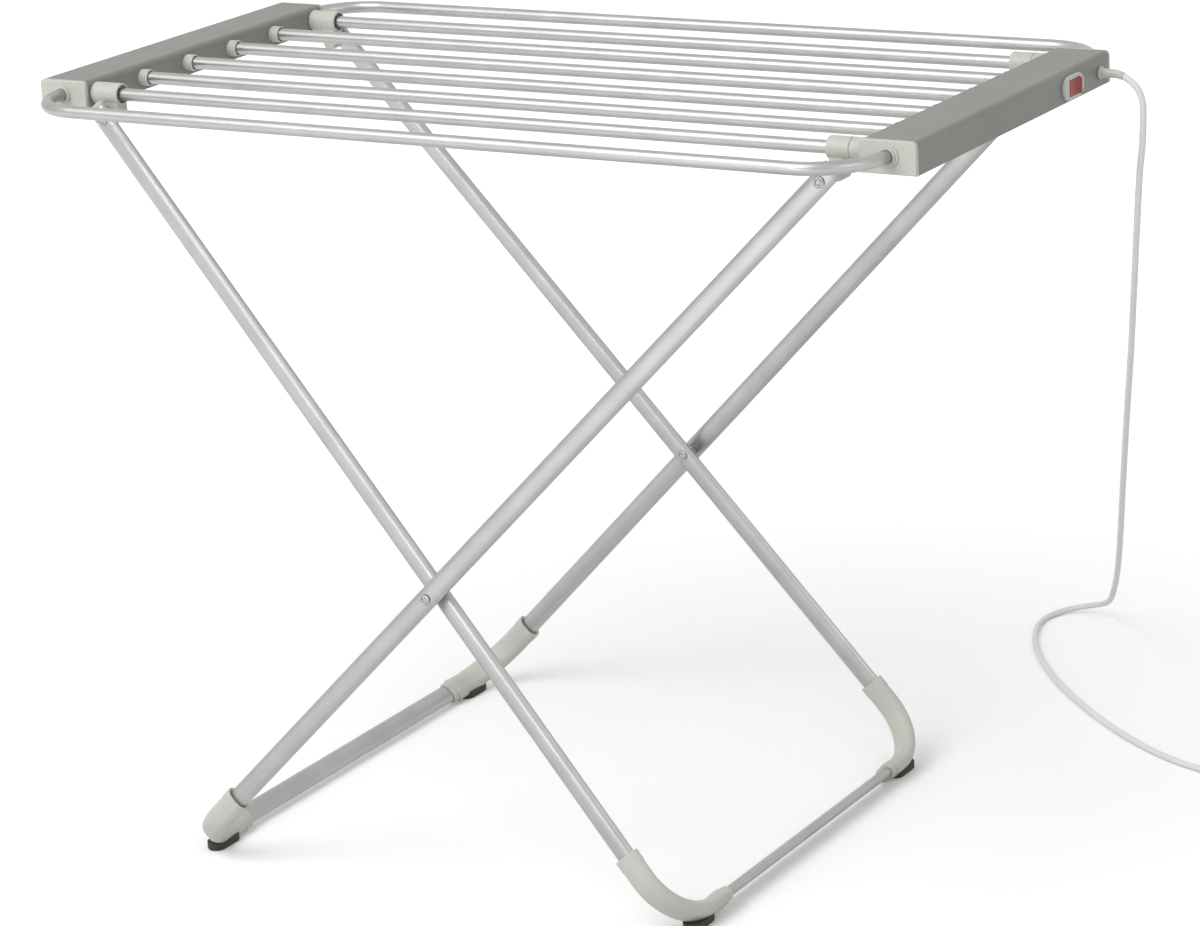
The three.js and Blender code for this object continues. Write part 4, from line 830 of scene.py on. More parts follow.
# %% Plugs, pins and rivets
PLUG_HEAD, PLUG_DEPTH, PLUG_ROUNDING = 4, 30, 1.4
PIN_DIAMETER, PIN_HEAD_DIAMETER, PIN_HEAD_HEIGHT = 6, 11, 2.4
UNDER_HEAD = 0.2
SHOULDER_DIAMETER = 12
INNER_LOWER = 381
OUTER_LOWER = INNER_LOWER * OUTER_LENGTH / INNER_LENGTH
FACE_GAP = TUBE_THIN / 2 + 2 * CLEAR


def ring_head(face):
    """The profile of a tubular rivet's head that stands on a face: a flange and a rolled ring."""
    edge, ring = PIN_HEAD_DIAMETER / 2, PIN_DIAMETER / 2
    return [
        (face, edge - 0.2), (face + 0.2, edge), (face + 0.5, edge - 0.1), (face + 0.8, ring + 1.4),
        (face + 1.7, ring + 1.2), (face + PIN_HEAD_HEIGHT, ring + 0.5), (face + PIN_HEAD_HEIGHT, ring),
        (face + 1.8, ring - 0.7), (face + 0.9, ring - 1.1), (face + 0.9, 0)]


for frame_name, sizes in FRAMES.items():
    place, body, pin = sizes["place"], f"{frame_name}_frame", sizes["pin"]
    up = sizes["up"]
    along = Matrix((up, Vector((0, 0, 1)).cross(up), (0, 0, 1))).transposed().to_4x4()
    at_top = place @ Matrix.Translation(sizes["top"] * MM) @ along
    head = prism(upright(stadium(TUBE_WIDE, TUBE_THIN)), CLEAR, CLEAR + PLUG_HEAD, "x")
    head = softened(head, PLUG_ROUNDING, lambda middle: middle.x > PLUG_HEAD)
    pinch = 2 * (TUBE_WALL + CLEAR)
    stem = prism(upright(stadium(TUBE_WIDE - pinch, TUBE_THIN - pinch)), -PLUG_DEPTH, PLUG_HEAD / 2, "x")
    plug = combined(head, [stem])
    plug.transform(at_top)
    face = sizes["top_y"] + FACE_GAP
    start = sizes["pin_start"]
    shaft = [(start, 0), (start, PIN_DIAMETER / 2), (face - UNDER_HEAD, PIN_DIAMETER / 2)]
    shaft_and_head = turned(shaft + ring_head(face), (pin.x, 0, pin.z), (0, 1, 0))
    finish_pair(f"{frame_name}_leg_cap_rear", plug, pale_plastic, body, f"{frame_name}_leg_plug_rear")
    finish_pair(f"{frame_name}_pin_rear", shaft_and_head, steel, body, f"{frame_name}_pivot_pin_rear")

inner_y = leg_point(FRAMES["inner"], INNER_LOWER).y
outer_y = leg_point(FRAMES["outer"], OUTER_LOWER).y
crossing = INNER_PLACE @ Vector((INNER_LOWER * MM, 0, 0)) / MM
near = [(-along, radius) for along, radius in reversed(ring_head(FACE_GAP - inner_y))]
shank, step = PIN_DIAMETER / 2, SHOULDER_DIAMETER / 2
shoulder = [
    (inner_y - FACE_GAP + UNDER_HEAD, shank), (inner_y + FACE_GAP, shank), (inner_y + FACE_GAP, step),
    (outer_y - FACE_GAP, step), (outer_y - FACE_GAP, shank), (outer_y + FACE_GAP - UNDER_HEAD, shank)]
rivet = turned(near + shoulder + ring_head(outer_y + FACE_GAP), (crossing.x, 0, crossing.z), (0, 1, 0))
finish_pair("crossing_rivet_rear_tubular", rivet, steel, "inner_frame", "crossing_rivet_rear")
print(f"leg ends: plugs, pins and rivets; the frames cross at x {crossing.x:.0f}, z {crossing.z:.0f} mm")

# %% [markdown]
# ### Foot pads
#
# A rubber pad fills the wedge between the floor and the underside of each
# elbow. It is a block with round ends that stands on the floor, cut by the
# elbow's own sweep grown by the gap between them. Its lower edge is rounded,
# as moulded rubber is.

# %% Foot pads
PAD_LENGTH, PAD_WIDTH, PAD_HEIGHT, PAD_ROUNDING, PAD_CORNER_DISTANCE = 40, 19, 8, 1.8, 43
for frame_name, sizes in FRAMES.items():
    points, scales = elbow_path(sizes)
    grown = tube(
        points, ELBOW_WIDE + 2 * CLEAR, ELBOW_THIN + 2 * CLEAR, 0,
        bend=ELBOW_BEND, bend_steps=ELBOW_STEPS, scales=scales, place=sizes["place"])
    normal = sizes["place"].to_3x3() @ Vector((0, 0, 1))
    contact = sizes["foot"].x - math.copysign(normal.x, normal.x * normal.z) * (ELBOW_WIDE - ELBOW_THIN) / 2
    middle = sizes["foot_y"] - PAD_CORNER_DISTANCE
    outline = [(contact + a, middle + b) for a, b in upright(stadium(PAD_LENGTH, PAD_WIDTH))]
    block = softened(prism(outline, 0, PAD_HEIGHT, "z"), PAD_ROUNDING, lambda middle: middle.z < ON_FACE)
    pad = combined(block, cut=[grown])
    node = f"{frame_name}_foot_pad_rear"
    finish_pair(f"{node}_rubber", pad, rubber, f"{frame_name}_frame", node)
print(f"foot pads: 4 of {len(pad.polygons)} faces")

# %% [markdown]
# ## Rails
#
# A rail is a deep channel of moulded plastic, open below, where a base plate
# closes it. Its top edges are well rounded, so one outline of the wall is
# pushed along y and no wall needs to be hollowed out. Posts inside take the
# screws. The inner wall has a hole for each bar, and the right rail's outer
# wall one for the switch and one for the cord.

# %% Rail covers
RAIL_WALL, RAIL_EDGE, RAIL_ROUNDING = 2, 4.5, 0.3
POST_YS = (-144, 144)
POST_DIAMETER, POST_RISE = 6.4, 2.3
SCREW_HOLE, SCREW_HOLE_DEPTH = 3.6, 9.3
COLLAR_HOLE, BAR_HOLE, GLAND_HOLE = 16.6, 12.6, 8.6
SWITCH_AXIS = Vector((RIGHT.high, 112, BAR_Z - 3))
WINDOW = Vector((23, 15.4)) / 2
WINDOW_CORNER = 0.6
SKIRT_WALL = 1.6
THROUGH = 4


def rail_outline(rail, inset, bottom):
    """The outline of a rail in x and z, with its round top edges, or one inset from it."""
    low, high, top = rail.low + inset, rail.high - inset, rail.top - inset
    radius = RAIL_EDGE - inset
    return rounded([(low, bottom, 0), (high, bottom, 0), (high, top, radius), (low, top, radius)])


def switch_block(start, end, border=0):
    """A block round the switch's axis, as large as its window or grown by a border."""
    outline = centred(*SWITCH_AXIS.yz, WINDOW.x + border, WINDOW.y + border, WINDOW_CORNER)
    return prism(outline, start, end, "x")


for word, rail in RAILS:
    outside = rail_outline(rail, 0, rail.bottom)
    inside = rail_outline(rail, RAIL_WALL, rail.bottom)
    channel = outside[1:] + outside[:1] + inside[:1] + inside[:0:-1]
    shell = softened(prism(channel, -rail.half, rail.half, "y"), RAIL_ROUNDING)
    posts, holes = [], []
    for y in POST_YS:
        start, end = (Vector((rail.middle, y, z)) for z in (rail.bottom, rail.top - RAIL_WALL / 2))
        posts.append(rod(POST_DIAMETER, start + Vector((0, 0, POST_RISE)), end))
        holes.append(rod(SCREW_HOLE, start, start + Vector((0, 0, SCREW_HOLE_DEPTH))))
    for y in BAR_YS:
        diameter = BAR_HOLE if y in (BAR_YS[0], BAR_YS[-1]) else COLLAR_HOLE
        holes.append(rod(diameter, (rail.inner - THROUGH, y, BAR_Z), (rail.inner + THROUGH, y, BAR_Z)))
    if rail is RIGHT:
        holes.append(switch_block(rail.high - THROUGH, rail.high + OVERRUN, SKIRT_WALL + CLEAR))
        start, end = (CORD_EXIT + Vector((x, 0, 0)) for x in (-THROUGH, OVERRUN))
        holes.append(rod(GLAND_HOLE, start, end))
    cover = combined(shell, posts, holes)
    finish_piece(f"{word}_rail_moulding", cover, rail_plastic, "platform", [f"{word}_rail_cover"])
    print(f"{word} rail: {len(cover.polygons)} faces, {len(holes)} holes")

# %% [markdown]
# ### End caps
#
# Each rail is closed by two paler caps with a spigot inside the rail and a
# ring outside, where the bent bar goes in. The left rings are one plain step
# and the right ones two, as in the photograph. Only the outer edge is
# rounded, since the inner one lies on the rail.

# %% End caps
CAP_THICKNESS, CAP_ROUNDING, SPIGOT_DEPTH, SPIGOT_BORDER, HOLLOW_CORNER = 4, 1.1, 5, 6, 2
BORE_RADIUS, BORE_DEPTH, SUNK = 6.3, 20, 2
# Out from the cap's face, the distance and the radius of a ring.
RINGS = {
    "left": [(0, 8.5), (2.3, 8.5), (2.8, 8.2), (3, 7.7)],
    "right": [
        (0, 10.5), (1, 10.5), (1.35, 10.3), (1.5, 9.9), (1.5, 8.25), (2.5, 8.25), (2.85, 8.1), (3, 7.7)]}
for word, rail in RAILS:
    back = RAIL_END - CAP_THICKNESS
    plate = prism(rail_outline(rail, 0, rail.bottom), back, RAIL_END, "y")
    plate = softened(plate, CAP_ROUNDING, lambda middle: middle.y > RAIL_END - ON_FACE)
    gap = RAIL_WALL + CLEAR
    spigot = prism(rail_outline(rail, gap, rail.bottom + gap), back - SPIGOT_DEPTH, back + SUNK, "y")
    profile = [(-SUNK, 0), (-SUNK, RINGS[word][0][1])] + RINGS[word] + [(RING_HEIGHT, 0)]
    ring = turned(profile, (rail.middle, RAIL_END, BAR_Z), (0, 1, 0))
    hollow = rectangle(
        rail.low + SPIGOT_BORDER, rail.high - SPIGOT_BORDER,
        rail.bottom + SPIGOT_BORDER, rail.top - SPIGOT_BORDER, HOLLOW_CORNER)
    bore = rod(
        2 * BORE_RADIUS, (rail.middle, RAIL_END - BORE_DEPTH, BAR_Z),
        (rail.middle, RAIL_END + RING_HEIGHT + OVERRUN, BAR_Z))
    pocket = prism(hollow, back - SPIGOT_DEPTH - SUNK, back, "y")
    cap = combined(plate, [spigot, ring], [pocket, bore])
    finish_pair(f"{word}_rear_cap", cap, pale_plastic, "platform", f"{word}_rear_end_cap")
print(f"end caps: 4 of up to {len(cap.polygons)} faces")

# %% [markdown]
# ### Bar holders
#
# The bars don't end in the rail's own wall: a strip inside it carries them,
# and its collars stand out round the four inner bars. A collar has a rounded
# end, a fine groove near it, and a mouth that opens a little, which draws a
# thin dark line round the bar.

# %% Bar holders
HOLDER_THICKNESS, HOLDER_HEIGHT, HOLDER_CORNER = 4, 18, 1
COLLAR_DIAMETER, COLLAR_LENGTH = 16, 10.5
FLARE_RADIUS, FLARE_LENGTH, FLARE_PAST = 7, 1, 0.1
for word, rail in RAILS:
    near = rail.inner - rail.out * (RAIL_WALL + CLEAR)
    back = near - rail.out * HOLDER_THICKNESS
    half = RAIL_END - CAP_THICKNESS - SPIGOT_DEPTH - 2 * CLEAR
    outline = centred(0, BAR_Z, half, HOLDER_HEIGHT / 2, HOLDER_CORNER)
    strip = prism(outline, min(near, back), max(near, back), "x")
    reach = abs(rail.inner - back) + COLLAR_LENGTH
    edge = COLLAR_DIAMETER / 2
    collar = [
        (0, 0), (0, edge), (reach - 3.2, edge), (reach - 3, edge - 0.35), (reach - 2.5, edge - 0.35),
        (reach - 2.3, edge), (reach - 0.8, edge), (reach - 0.2, edge - 0.25), (reach, edge - 0.8), (reach, 0)]
    mouth = reach + FLARE_PAST
    bore = [
        (-OVERRUN, 0), (-OVERRUN, BORE_RADIUS), (mouth - FLARE_LENGTH, BORE_RADIUS),
        (mouth, FLARE_RADIUS), (mouth, 0)]
    along = (rail.out, 0, 0)
    collars = [turned(collar, (back, y, BAR_Z), along) for y in BAR_YS[1:-1]]
    bores = [turned(bore, (back, y, BAR_Z), along) for y in BAR_YS]
    holder = combined(strip, collars, bores)
    finish_piece(f"{word}_holder_moulding", holder, pale_plastic, "platform", [f"{word}_bar_holder"])
print(f"bar holders: 2 of {len(holder.polygons)} faces, with 4 collars each")

# %% [markdown]
# ## Collars that carry the legs
#
# A collar is a sleeve round the outermost bar with a lug below, where the
# leg's pin sits, and a round boss that faces the leg. The left collars slide
# along the bar as the frame folds, and their mouths are wider than the bar.
# The right ones are fixed and run on past a groove to the rail.

# %% Collars
SLEEVE_DIAMETER, LUG_WIDTH, LUG_INNER, LUG_STEPS, BOSS_DIAMETER = 21, 14, 8, 16, 12.6
LUG_ROUNDING, BOSS_ROUNDING = 0.9, 0.6
SLIDE_BORE, SLIDE_MOUTH, MOUTH_DEPTH = 13, 17.5, 5
PIN_BORE, PIN_BORE_INWARD, PIN_BORE_OUTWARD = 6.5, 6, 18
GROOVE_PLACE, GROOVE_WIDTH, GROOVE_RADIUS = 22, 0.8, 9.7
OUTER_BAR_Y = BAR_YS[-1]


def leg_collar(profile, start, pin, boss_face, cutters):
    """A rear collar: its sleeve from a profile along x, its lug and boss, and what is cut away."""
    sleeve = turned(profile, (start, OUTER_BAR_Y, BAR_Z), (1, 0, 0))
    half = LUG_WIDTH / 2
    outline = [(pin.x + half, BAR_Z), (pin.x - half, BAR_Z)]
    for i in range(LUG_STEPS + 1):
        angle = math.pi * (1 + i / LUG_STEPS)
        outline.append((pin.x + half * math.cos(angle), pin.z + half * math.sin(angle)))
    lug = prism(outline, OUTER_BAR_Y - LUG_INNER, OUTER_BAR_Y + LUG_INNER, "y")
    lug = softened(lug, LUG_ROUNDING)
    boss = rod(BOSS_DIAMETER, (pin.x, OUTER_BAR_Y, pin.z), (pin.x, boss_face, pin.z))
    boss = softened(boss, BOSS_ROUNDING)
    return combined(sleeve, [lug, boss], cutters)


def along_bar(diameter, start, end):
    """A rod on the outer rear bar's axis."""
    return rod(diameter, (start, OUTER_BAR_Y, BAR_Z), (end, OUTER_BAR_Y, BAR_Z))


edge = SLEEVE_DIAMETER / 2
round_start = [(0, 0), (0, edge - 0.9), (0.3, edge - 0.25), (1, edge)]
low, high = box("rear_slider_collar")
length = high.x - low.x
slider_profile = round_start + [(length - along, radius) for along, radius in reversed(round_start)]
pin_hole = rod(
    PIN_BORE, (INNER_PIN.x, OUTER_BAR_Y - PIN_BORE_INWARD, INNER_PIN.z),
    (INNER_PIN.x, OUTER_BAR_Y + PIN_BORE_OUTWARD, INNER_PIN.z))
bar_hole = along_bar(SLIDE_BORE, low.x - OVERRUN, high.x + OVERRUN)
wide_mouth = along_bar(SLIDE_MOUTH, high.x - MOUTH_DEPTH, high.x + OVERRUN)
slider = leg_collar(slider_profile, low.x, INNER_PIN, high.y, [bar_hole, wide_mouth, pin_hole])
finish_pair("rear_slider_moulding", slider, pale_plastic, "leg_sliders", "rear_slider_collar")

low, high = box("rear_fixed_collar")
length, groove_end = high.x - low.x, GROOVE_PLACE + GROOVE_WIDTH
fixed_profile = round_start + [
    (GROOVE_PLACE - 0.4, edge), (GROOVE_PLACE, edge - 0.3), (GROOVE_PLACE, GROOVE_RADIUS),
    (groove_end, GROOVE_RADIUS), (groove_end, edge - 0.3), (groove_end + 0.4, edge),
    (length - 0.4, edge), (length, edge - 0.3), (length, 0)]
bar_hole = along_bar(BAR_HOLE, low.x - OVERRUN, high.x + OVERRUN)
fixed = leg_collar(fixed_profile, low.x, OUTER_PIN, high.y, [bar_hole])
finish_pair("rear_fixed_moulding", fixed, pale_plastic, "platform", "rear_fixed_collar")
print(f"collars: 2 sliding, 2 fixed, of up to {len(fixed.polygons)} faces")

# %% [markdown]
# ## Switch
#
# The switch snaps into the rail's outer wall: a pale bezel with round ends, and
# a red rocker that tips in its window on two small trunnions. The rocker's
# face is hollowed towards its middle, which is what a thumb feels. Its ends
# are arcs round the trunnions, so that it clears the window as it tips.

# %% Bezel and rocker
BEZEL_WIDE, BEZEL_HIGH, BEZEL_PROUD, BEZEL_ROUNDING, SKIRT_SUNK = 42, 22, 3.5, 1.3, 1.5
ROCKER_RADIUS, ROCKER_RIM, ROCKER_DIP, ROCKER_BACK, ROCKER_ROUNDING = 11, 5, 2.8, -2.5, 0.6
ROCKER_GAP, FACE_STEPS, ARC_STEPS, PIVOT_OUT = 0.5, 10, 8, 0.5
TRUNNION_DIAMETER, TRUNNION_HOLE, TRUNNION_REACH, TRUNNION_HOLE_REACH = 2.4, 3, 1.5, 9
ROCKER_TILT = math.radians(9)
pivot = SWITCH_AXIS + Vector((PIVOT_OUT, 0, 0))
wall_inside = RIGHT.high - RAIL_WALL - 2 * CLEAR
face = RIGHT.high + BEZEL_PROUD
bezel = prism(stadium(BEZEL_WIDE, BEZEL_HIGH, *SWITCH_AXIS.yz), RIGHT.high + CLEAR, face, "x")
bezel = softened(bezel, BEZEL_ROUNDING, lambda middle: middle.x > face - ON_FACE)
skirt = switch_block(wall_inside, RIGHT.high + SKIRT_SUNK, SKIRT_WALL)
window = switch_block(wall_inside - OVERRUN, face + OVERRUN)
hole_end = Vector((0, 0, TRUNNION_HOLE_REACH))
trunnion_holes = rod(TRUNNION_HOLE, pivot - hole_end, pivot + hole_end)
bezel = combined(bezel, [skirt], [window, trunnion_holes])
finish_piece("switch_bezel_moulding", bezel, pale_plastic, "platform", ["switch_bezel"])

half = WINDOW.y - ROCKER_GAP
rim_y = math.sqrt(ROCKER_RADIUS ** 2 - ROCKER_RIM ** 2)
shares = [i / FACE_STEPS for i in range(-FACE_STEPS, FACE_STEPS + 1)]
section = [(ROCKER_DIP + (ROCKER_RIM - ROCKER_DIP) * share ** 2, rim_y * share) for share in shares]
first, last = math.atan2(rim_y, ROCKER_RIM), math.acos(ROCKER_BACK / ROCKER_RADIUS)
side = [first + (last - first) * i / ARC_STEPS for i in range(1, ARC_STEPS + 1)]
section += [
    (ROCKER_RADIUS * math.cos(a), ROCKER_RADIUS * math.sin(a)) for a in side + [-a for a in reversed(side)]]
rocker = softened(prism(section, -half, half, "z"), ROCKER_ROUNDING)
trunnion = rod(TRUNNION_DIAMETER, (0, 0, -half - TRUNNION_REACH), (0, 0, half + TRUNNION_REACH))
rocker = combined(rocker, [trunnion])
rocker.transform(Matrix.Translation(pivot * MM) @ Matrix.Rotation(-ROCKER_TILT, 4, "Z"))
finish_piece("rocker_moulding", rocker, red_plastic, "rocker", ["rocker_button"])
print(f"switch: bezel {len(bezel.polygons)} faces, rocker {len(rocker.polygons)} faces")

# %% [markdown]
# ## Gland and plug
#
# The gland is moulded onto the cord: a nut and a neck in the rail's wall, a
# flange outside, and a strain relief that follows the cord's first bend and
# tapers to its thickness. A thinner lead runs on inside the rail. The plug is
# one soft moulding with a narrow grip that widens to the face with its two
# round pins. Fine grooves on the grip keep the fingers from sliding.

# %% Gland
NUT_THICKNESS = 3
RELIEF_THICK, RELIEF_THIN, RELIEF_STEPS, RELIEF_MIDWAY = 9.4, 7.0, 12, 6
LEAD_DIAMETER, LEAD_X, LEAD_END_Y = 3.4, 443.18, 13.3
# Out from the nut's inner face, the distance and the radius: nut, neck and flange.
GLAND_PROFILE = [
    (0, 0), (0, 5.1), (0.4, 5.5), (2.6, 5.5), (3, 5.1), (3, 4), (5.6, 4), (5.6, 5.7), (5.9, 6), (7.2, 6),
    (7.8, 5.7), (8.1, 5), (8.1, 0)]
axis_start = CORD_EXIT.copy()
axis_start.x = RIGHT.high - RAIL_WALL - CLEAR - NUT_THICKNESS
gland = turned(GLAND_PROFILE, axis_start, (1, 0, 0))
relief_line = [CORD_EXIT + Vector((x, 0, 0)) for x in (GLAND_FLANGE / 2, RELIEF_MIDWAY)]
relief_line += [exit_point(RELIEF_TURN * i / RELIEF_STEPS) for i in range(RELIEF_STEPS + 1)]
travelled = [0]
for a, b in zip(relief_line, relief_line[1:]):
    travelled.append(travelled[-1] + (b - a).length)
relief_scales = [1 - (1 - RELIEF_THIN / RELIEF_THICK) * run / travelled[-1] for run in travelled]
relief = tube(relief_line, RELIEF_THICK, RELIEF_THICK, 0, scales=relief_scales)
y, z = CORD_EXIT.yz
lead_half = LEAD_DIAMETER / 2
leads = [
    rod(LEAD_DIAMETER, (LEAD_X - lead_half, y, z), axis_start + Vector((NUT_THICKNESS / 2, 0, 0))),
    rod(LEAD_DIAMETER, (LEAD_X, LEAD_END_Y, z), (LEAD_X, y + lead_half, z))]
gland = combined(gland, [relief])
gland_piece = finish_piece("gland_moulding", gland, pale_plastic, "platform", ["cord_gland"])
inner_lead = combined(leads[0], leads[1:])
finish_piece("inner_lead_sheath", inner_lead, cord_plastic, "platform", ["cord_gland"])
print(f"gland: {len(gland.polygons)} faces, its relief {travelled[-1]:.0f} mm long")

# %% Plug
TAIL_LENGTH, PLUG_LENGTH, PLUG_HEIGHT, PLUG_EDGE = 24, 36, 20, 2.6
GRIP_HALF, FACE_HALF, GRIP_SHARE = 11, 17.5, 0.45
INSERT_HALF, INSERT_HALF_HEIGHT, INSERT_DEPTH = 13.5, 5, 12
PIN_SPACING = 19
# The grooves' places along the grip, and how far out, from where and to where they run.
GROOVE_PLACES, GROOVE_STEPS = (4, 7, 10, 13), 16
GROOVE_DIAMETER, GROOVE_OUT, GROOVE_LOW, GROOVE_HIGH = 1.2, 0.2, 3, 17
# Along the tail and along a pin, the distance and the radius.
TAIL_PROFILE = [(0, 0), (0, 3.5), (32, 4), (32, 0)]
PIN_PROFILE = [(0, 0), (0, 2.4), (29.2, 2.4), (30.2, 2.1), (30.7, 1.3), (30.7, 0)]
tail_start = PLUG_START.x + CLEAR
body_start = tail_start + TAIL_LENGTH
body_end = body_start + PLUG_LENGTH
shoulder = body_start + PLUG_LENGTH * GRIP_SHARE
plug_y, plug_z = PLUG_START.y, PLUG_HEIGHT / 2
half_outline = [(body_start, GRIP_HALF, 3), (shoulder, GRIP_HALF, 6), (body_end, FACE_HALF, 2.5)]
corners = [(x, -y, radius) for x, y, radius in half_outline] + half_outline[::-1]
outline = [(x, plug_y + y) for x, y in rounded(corners)]
plug = softened(prism(outline, 0, PLUG_HEIGHT, "z"), PLUG_EDGE)
tail = turned(TAIL_PROFILE, (tail_start, *PLUG_START.yz), (1, 0, 0))
cuts = []
for x in GROOVE_PLACES:
    for side in (-1, 1):
        y = plug_y + side * (GRIP_HALF + GROOVE_OUT)
        low, high = ((body_start + x, y, z) for z in (GROOVE_LOW, GROOVE_HIGH))
        cuts.append(rod(GROOVE_DIAMETER, low, high, GROOVE_STEPS))
pocket = centred(plug_y, plug_z, INSERT_HALF + CLEAR, INSERT_HALF_HEIGHT + CLEAR)
cuts.append(prism(pocket, body_end - INSERT_DEPTH - CLEAR, body_end + OVERRUN, "x"))
plug = combined(plug, [tail], cuts)
plug_piece = finish_piece("plug_moulding", plug, cord_plastic, "platform", ["plug_body"])

insert = centred(plug_y, plug_z, INSERT_HALF, INSERT_HALF_HEIGHT)
insert = prism(insert, body_end - INSERT_DEPTH, body_end, "x")
pins = [
    turned(PIN_PROFILE, (body_end - INSERT_DEPTH + CLEAR, plug_y + side * PIN_SPACING / 2, plug_z), (1, 0, 0))
    for side in (-1, 1)]
pins = combined(insert, pins)
pins_piece = finish_piece("plug_pins_turned", pins, steel, "platform", ["plug_pins"])
print(f"plug: {len(plug.polygons)} faces, pins {len(pins.polygons)} faces")

# %% [markdown]
# ## Screws
#
# Two screws below each rail hold its base plate: a low round head with a
# cross recess. They are seen only from below, but a part in a library is
# looked at from all sides.

# %% Screws
SCREW_PROFILE = [(0, 0), (0, 2.4), (0.35, 2.85), (0.8, 3), (1.6, 3), (1.6, 1.5), (10.6, 1.5), (10.6, 0)]
CROSS_LONG, CROSS_NARROW, CROSS_DEPTH = 1.7, 0.35, 1
for word, rail in RAILS:
    for place, y in (("front", POST_YS[0]), ("rear", POST_YS[1])):
        bottom = box(f"{word}_{place}_screw")[0].z
        screw = turned(SCREW_PROFILE, (rail.middle, y, bottom), (0, 0, 1))
        cross = [
            prism(centred(rail.middle, y, a, b), bottom - OVERRUN, bottom + CROSS_DEPTH, "z")
            for a, b in ((CROSS_LONG, CROSS_NARROW), (CROSS_NARROW, CROSS_LONG))]
        screw = combined(screw, cut=cross)
        finish_piece(f"{word}_{place}_screw_pan_head", screw, steel, "platform", [f"{word}_{place}_screw"])
print("screws: 4")

# %% [markdown]
# ## Everything that stays as the CAD made it
#
# The rails' base plates are plain flat plates. The terminal block and the
# switch's body lie out of sight inside the right rail, and the heating cable
# inside the rails and bars. They could be built again like the rest, but they
# would look the same, so they keep their solids and only get a finish.

# %% Finishes on the kept solids
KEPT = {
    rail_plastic: ["left_rail_base", "right_rail_base"],
    pale_plastic: ["terminal_block"],
    silicone: ["heating_cable"],
    dark_plastic: ["switch_body"],
}
for material, nodes in KEPT.items():
    for node in nodes:
        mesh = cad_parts[node].data
        mesh.materials.clear()
        mesh.materials.append(material)
print(f"kept solids: {sum(len(nodes) for nodes in KEPT.values())}")

# %% [markdown]
# ## The cord rides along
#
# The cord hangs from the right rail, so it rides on the platform. It could be
# turned into a mesh like the other pieces, but it stays a curve, so whoever
# uses the part can lay it in another way.

# %% Cord on its body
cord_curve.materials.append(cord_plastic)
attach(cord, "platform")
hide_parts("mains_cord", "cord_coil")

# %% [markdown]
# ## Floor and light
#
# The airer stands on a pale floor that runs on into the white background. A
# large soft panel above and to the left lights the tops of the bars, and a
# weaker one fills from the right, as in a small photographic studio. A low
# one in front draws the soft highlight along the inner legs. World and floor
# are whiter to the camera and in reflections than as sources of light. The
# floor grows whiter away from the airer, which keeps the shadows near it.

# %% Floor
FLOOR_REACH = 14
NEAR, FAR = 0.45, 2.2
NEAR_GLOW, FAR_GLOW = 0.06, 0.5
corners = [(FLOOR_REACH * x, FLOOR_REACH * y, 0) for x, y in ((-1, -1), (1, -1), (1, 1), (-1, 1))]
floor_mesh = bpy.data.meshes.new("floor")
floor_mesh.from_pydata(corners, [], [(0, 1, 2, 3)])
floor = bpy.data.objects.new("floor", floor_mesh)
bpy.context.scene.collection.objects.link(floor)
floor_paint = bpy.data.materials.new("pale_floor")
floor_paint.use_nodes = True
floor_tree = floor_paint.node_tree
floor_tree.nodes.clear()


def seen(tree):
    """A node output that is 1 for what the camera sees, directly or in metal or glass."""
    ray = add_node(tree, "ShaderNodeLightPath").outputs
    direct = add_node(tree, "ShaderNodeMath", {
        0: ray["Is Camera Ray"], 1: ray["Is Glossy Ray"]}, operation="MAXIMUM")
    return add_node(tree, "ShaderNodeMath", {
        0: direct.outputs[0], 1: ray["Is Transmission Ray"]}, operation="MAXIMUM").outputs[0]


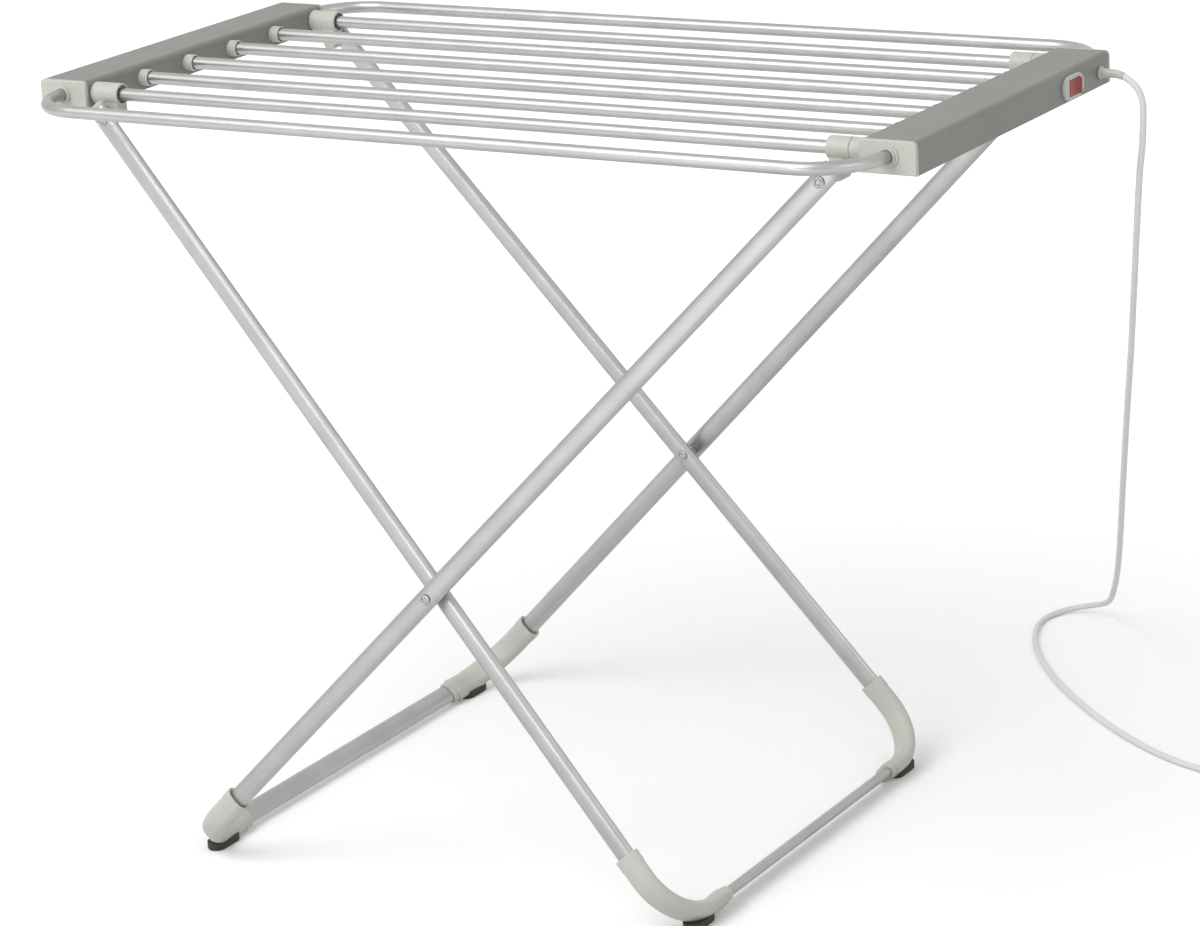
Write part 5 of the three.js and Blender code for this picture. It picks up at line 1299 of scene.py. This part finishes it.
floor_seen = seen(floor_tree)
floor_colour = add_node(floor_tree, "ShaderNodeMix", {
    0: floor_seen, 6: linear("#d8d8d8"), 7: (1, 1, 1, 1)}, data_type="RGBA")
matt = add_node(floor_tree, "ShaderNodeBsdfDiffuse", {"Color": floor_colour.outputs[2]})
floor_place = add_node(floor_tree, "ShaderNodeTexCoord").outputs["Object"]
away = add_node(floor_tree, "ShaderNodeVectorMath", {0: floor_place}, operation="LENGTH")
whiter = add_node(floor_tree, "ShaderNodeMapRange", {
    "Value": away.outputs["Value"], "From Min": NEAR, "From Max": FAR,
    "To Min": NEAR_GLOW, "To Max": FAR_GLOW})
glow = add_node(floor_tree, "ShaderNodeMath", {0: floor_seen, 1: whiter.outputs[0]}, operation="MULTIPLY")
white = add_node(floor_tree, "ShaderNodeEmission", {"Strength": glow.outputs[0]})
both = add_node(floor_tree, "ShaderNodeAddShader", {0: matt.outputs[0], 1: white.outputs[0]})
add_node(floor_tree, "ShaderNodeOutputMaterial", {"Surface": both.outputs[0]})
floor_mesh.materials.append(floor_paint)
print(f"floor: {2 * FLOOR_REACH} m square")

# %% Light
def panel(name, place, aim, size, power):
    """A soft square lamp of a given size that faces a point."""
    data = bpy.data.lights.new(name, "AREA")
    data.size = size
    data.energy = power
    lamp = bpy.data.objects.new(name, data)
    lamp.location = place
    lamp.rotation_euler = (Vector(aim) - Vector(place)).to_track_quat("-Z", "Y").to_euler()
    bpy.context.scene.collection.objects.link(lamp)


panel("key_panel", (-1.0, -2.4, 3.2), (0, 0, 0.5), 2.6, 77)
panel("fill_panel", (3.0, -1.2, 2.0), (0, 0, 0.5), 1.5, 12)
panel("front_panel", (-0.7, -4.2, 0.9), (0, 0, 0.4), 1.4, 21)
world = bpy.data.worlds.new("studio")
bpy.context.scene.world = world
world.use_nodes = True
world_tree = world.node_tree
world_tree.nodes.clear()
strength = add_node(world_tree, "ShaderNodeMapRange", {
    "Value": seen(world_tree), "To Min": 0.6, "To Max": 1.0})
sky = add_node(world_tree, "ShaderNodeBackground", {"Color": (1, 1, 1, 1), "Strength": strength.outputs[0]})
add_node(world_tree, "ShaderNodeOutputWorld", {"Surface": sky.outputs[0]})
bpy.context.scene.view_settings.view_transform = "Standard"
print("light: three panels and a white world")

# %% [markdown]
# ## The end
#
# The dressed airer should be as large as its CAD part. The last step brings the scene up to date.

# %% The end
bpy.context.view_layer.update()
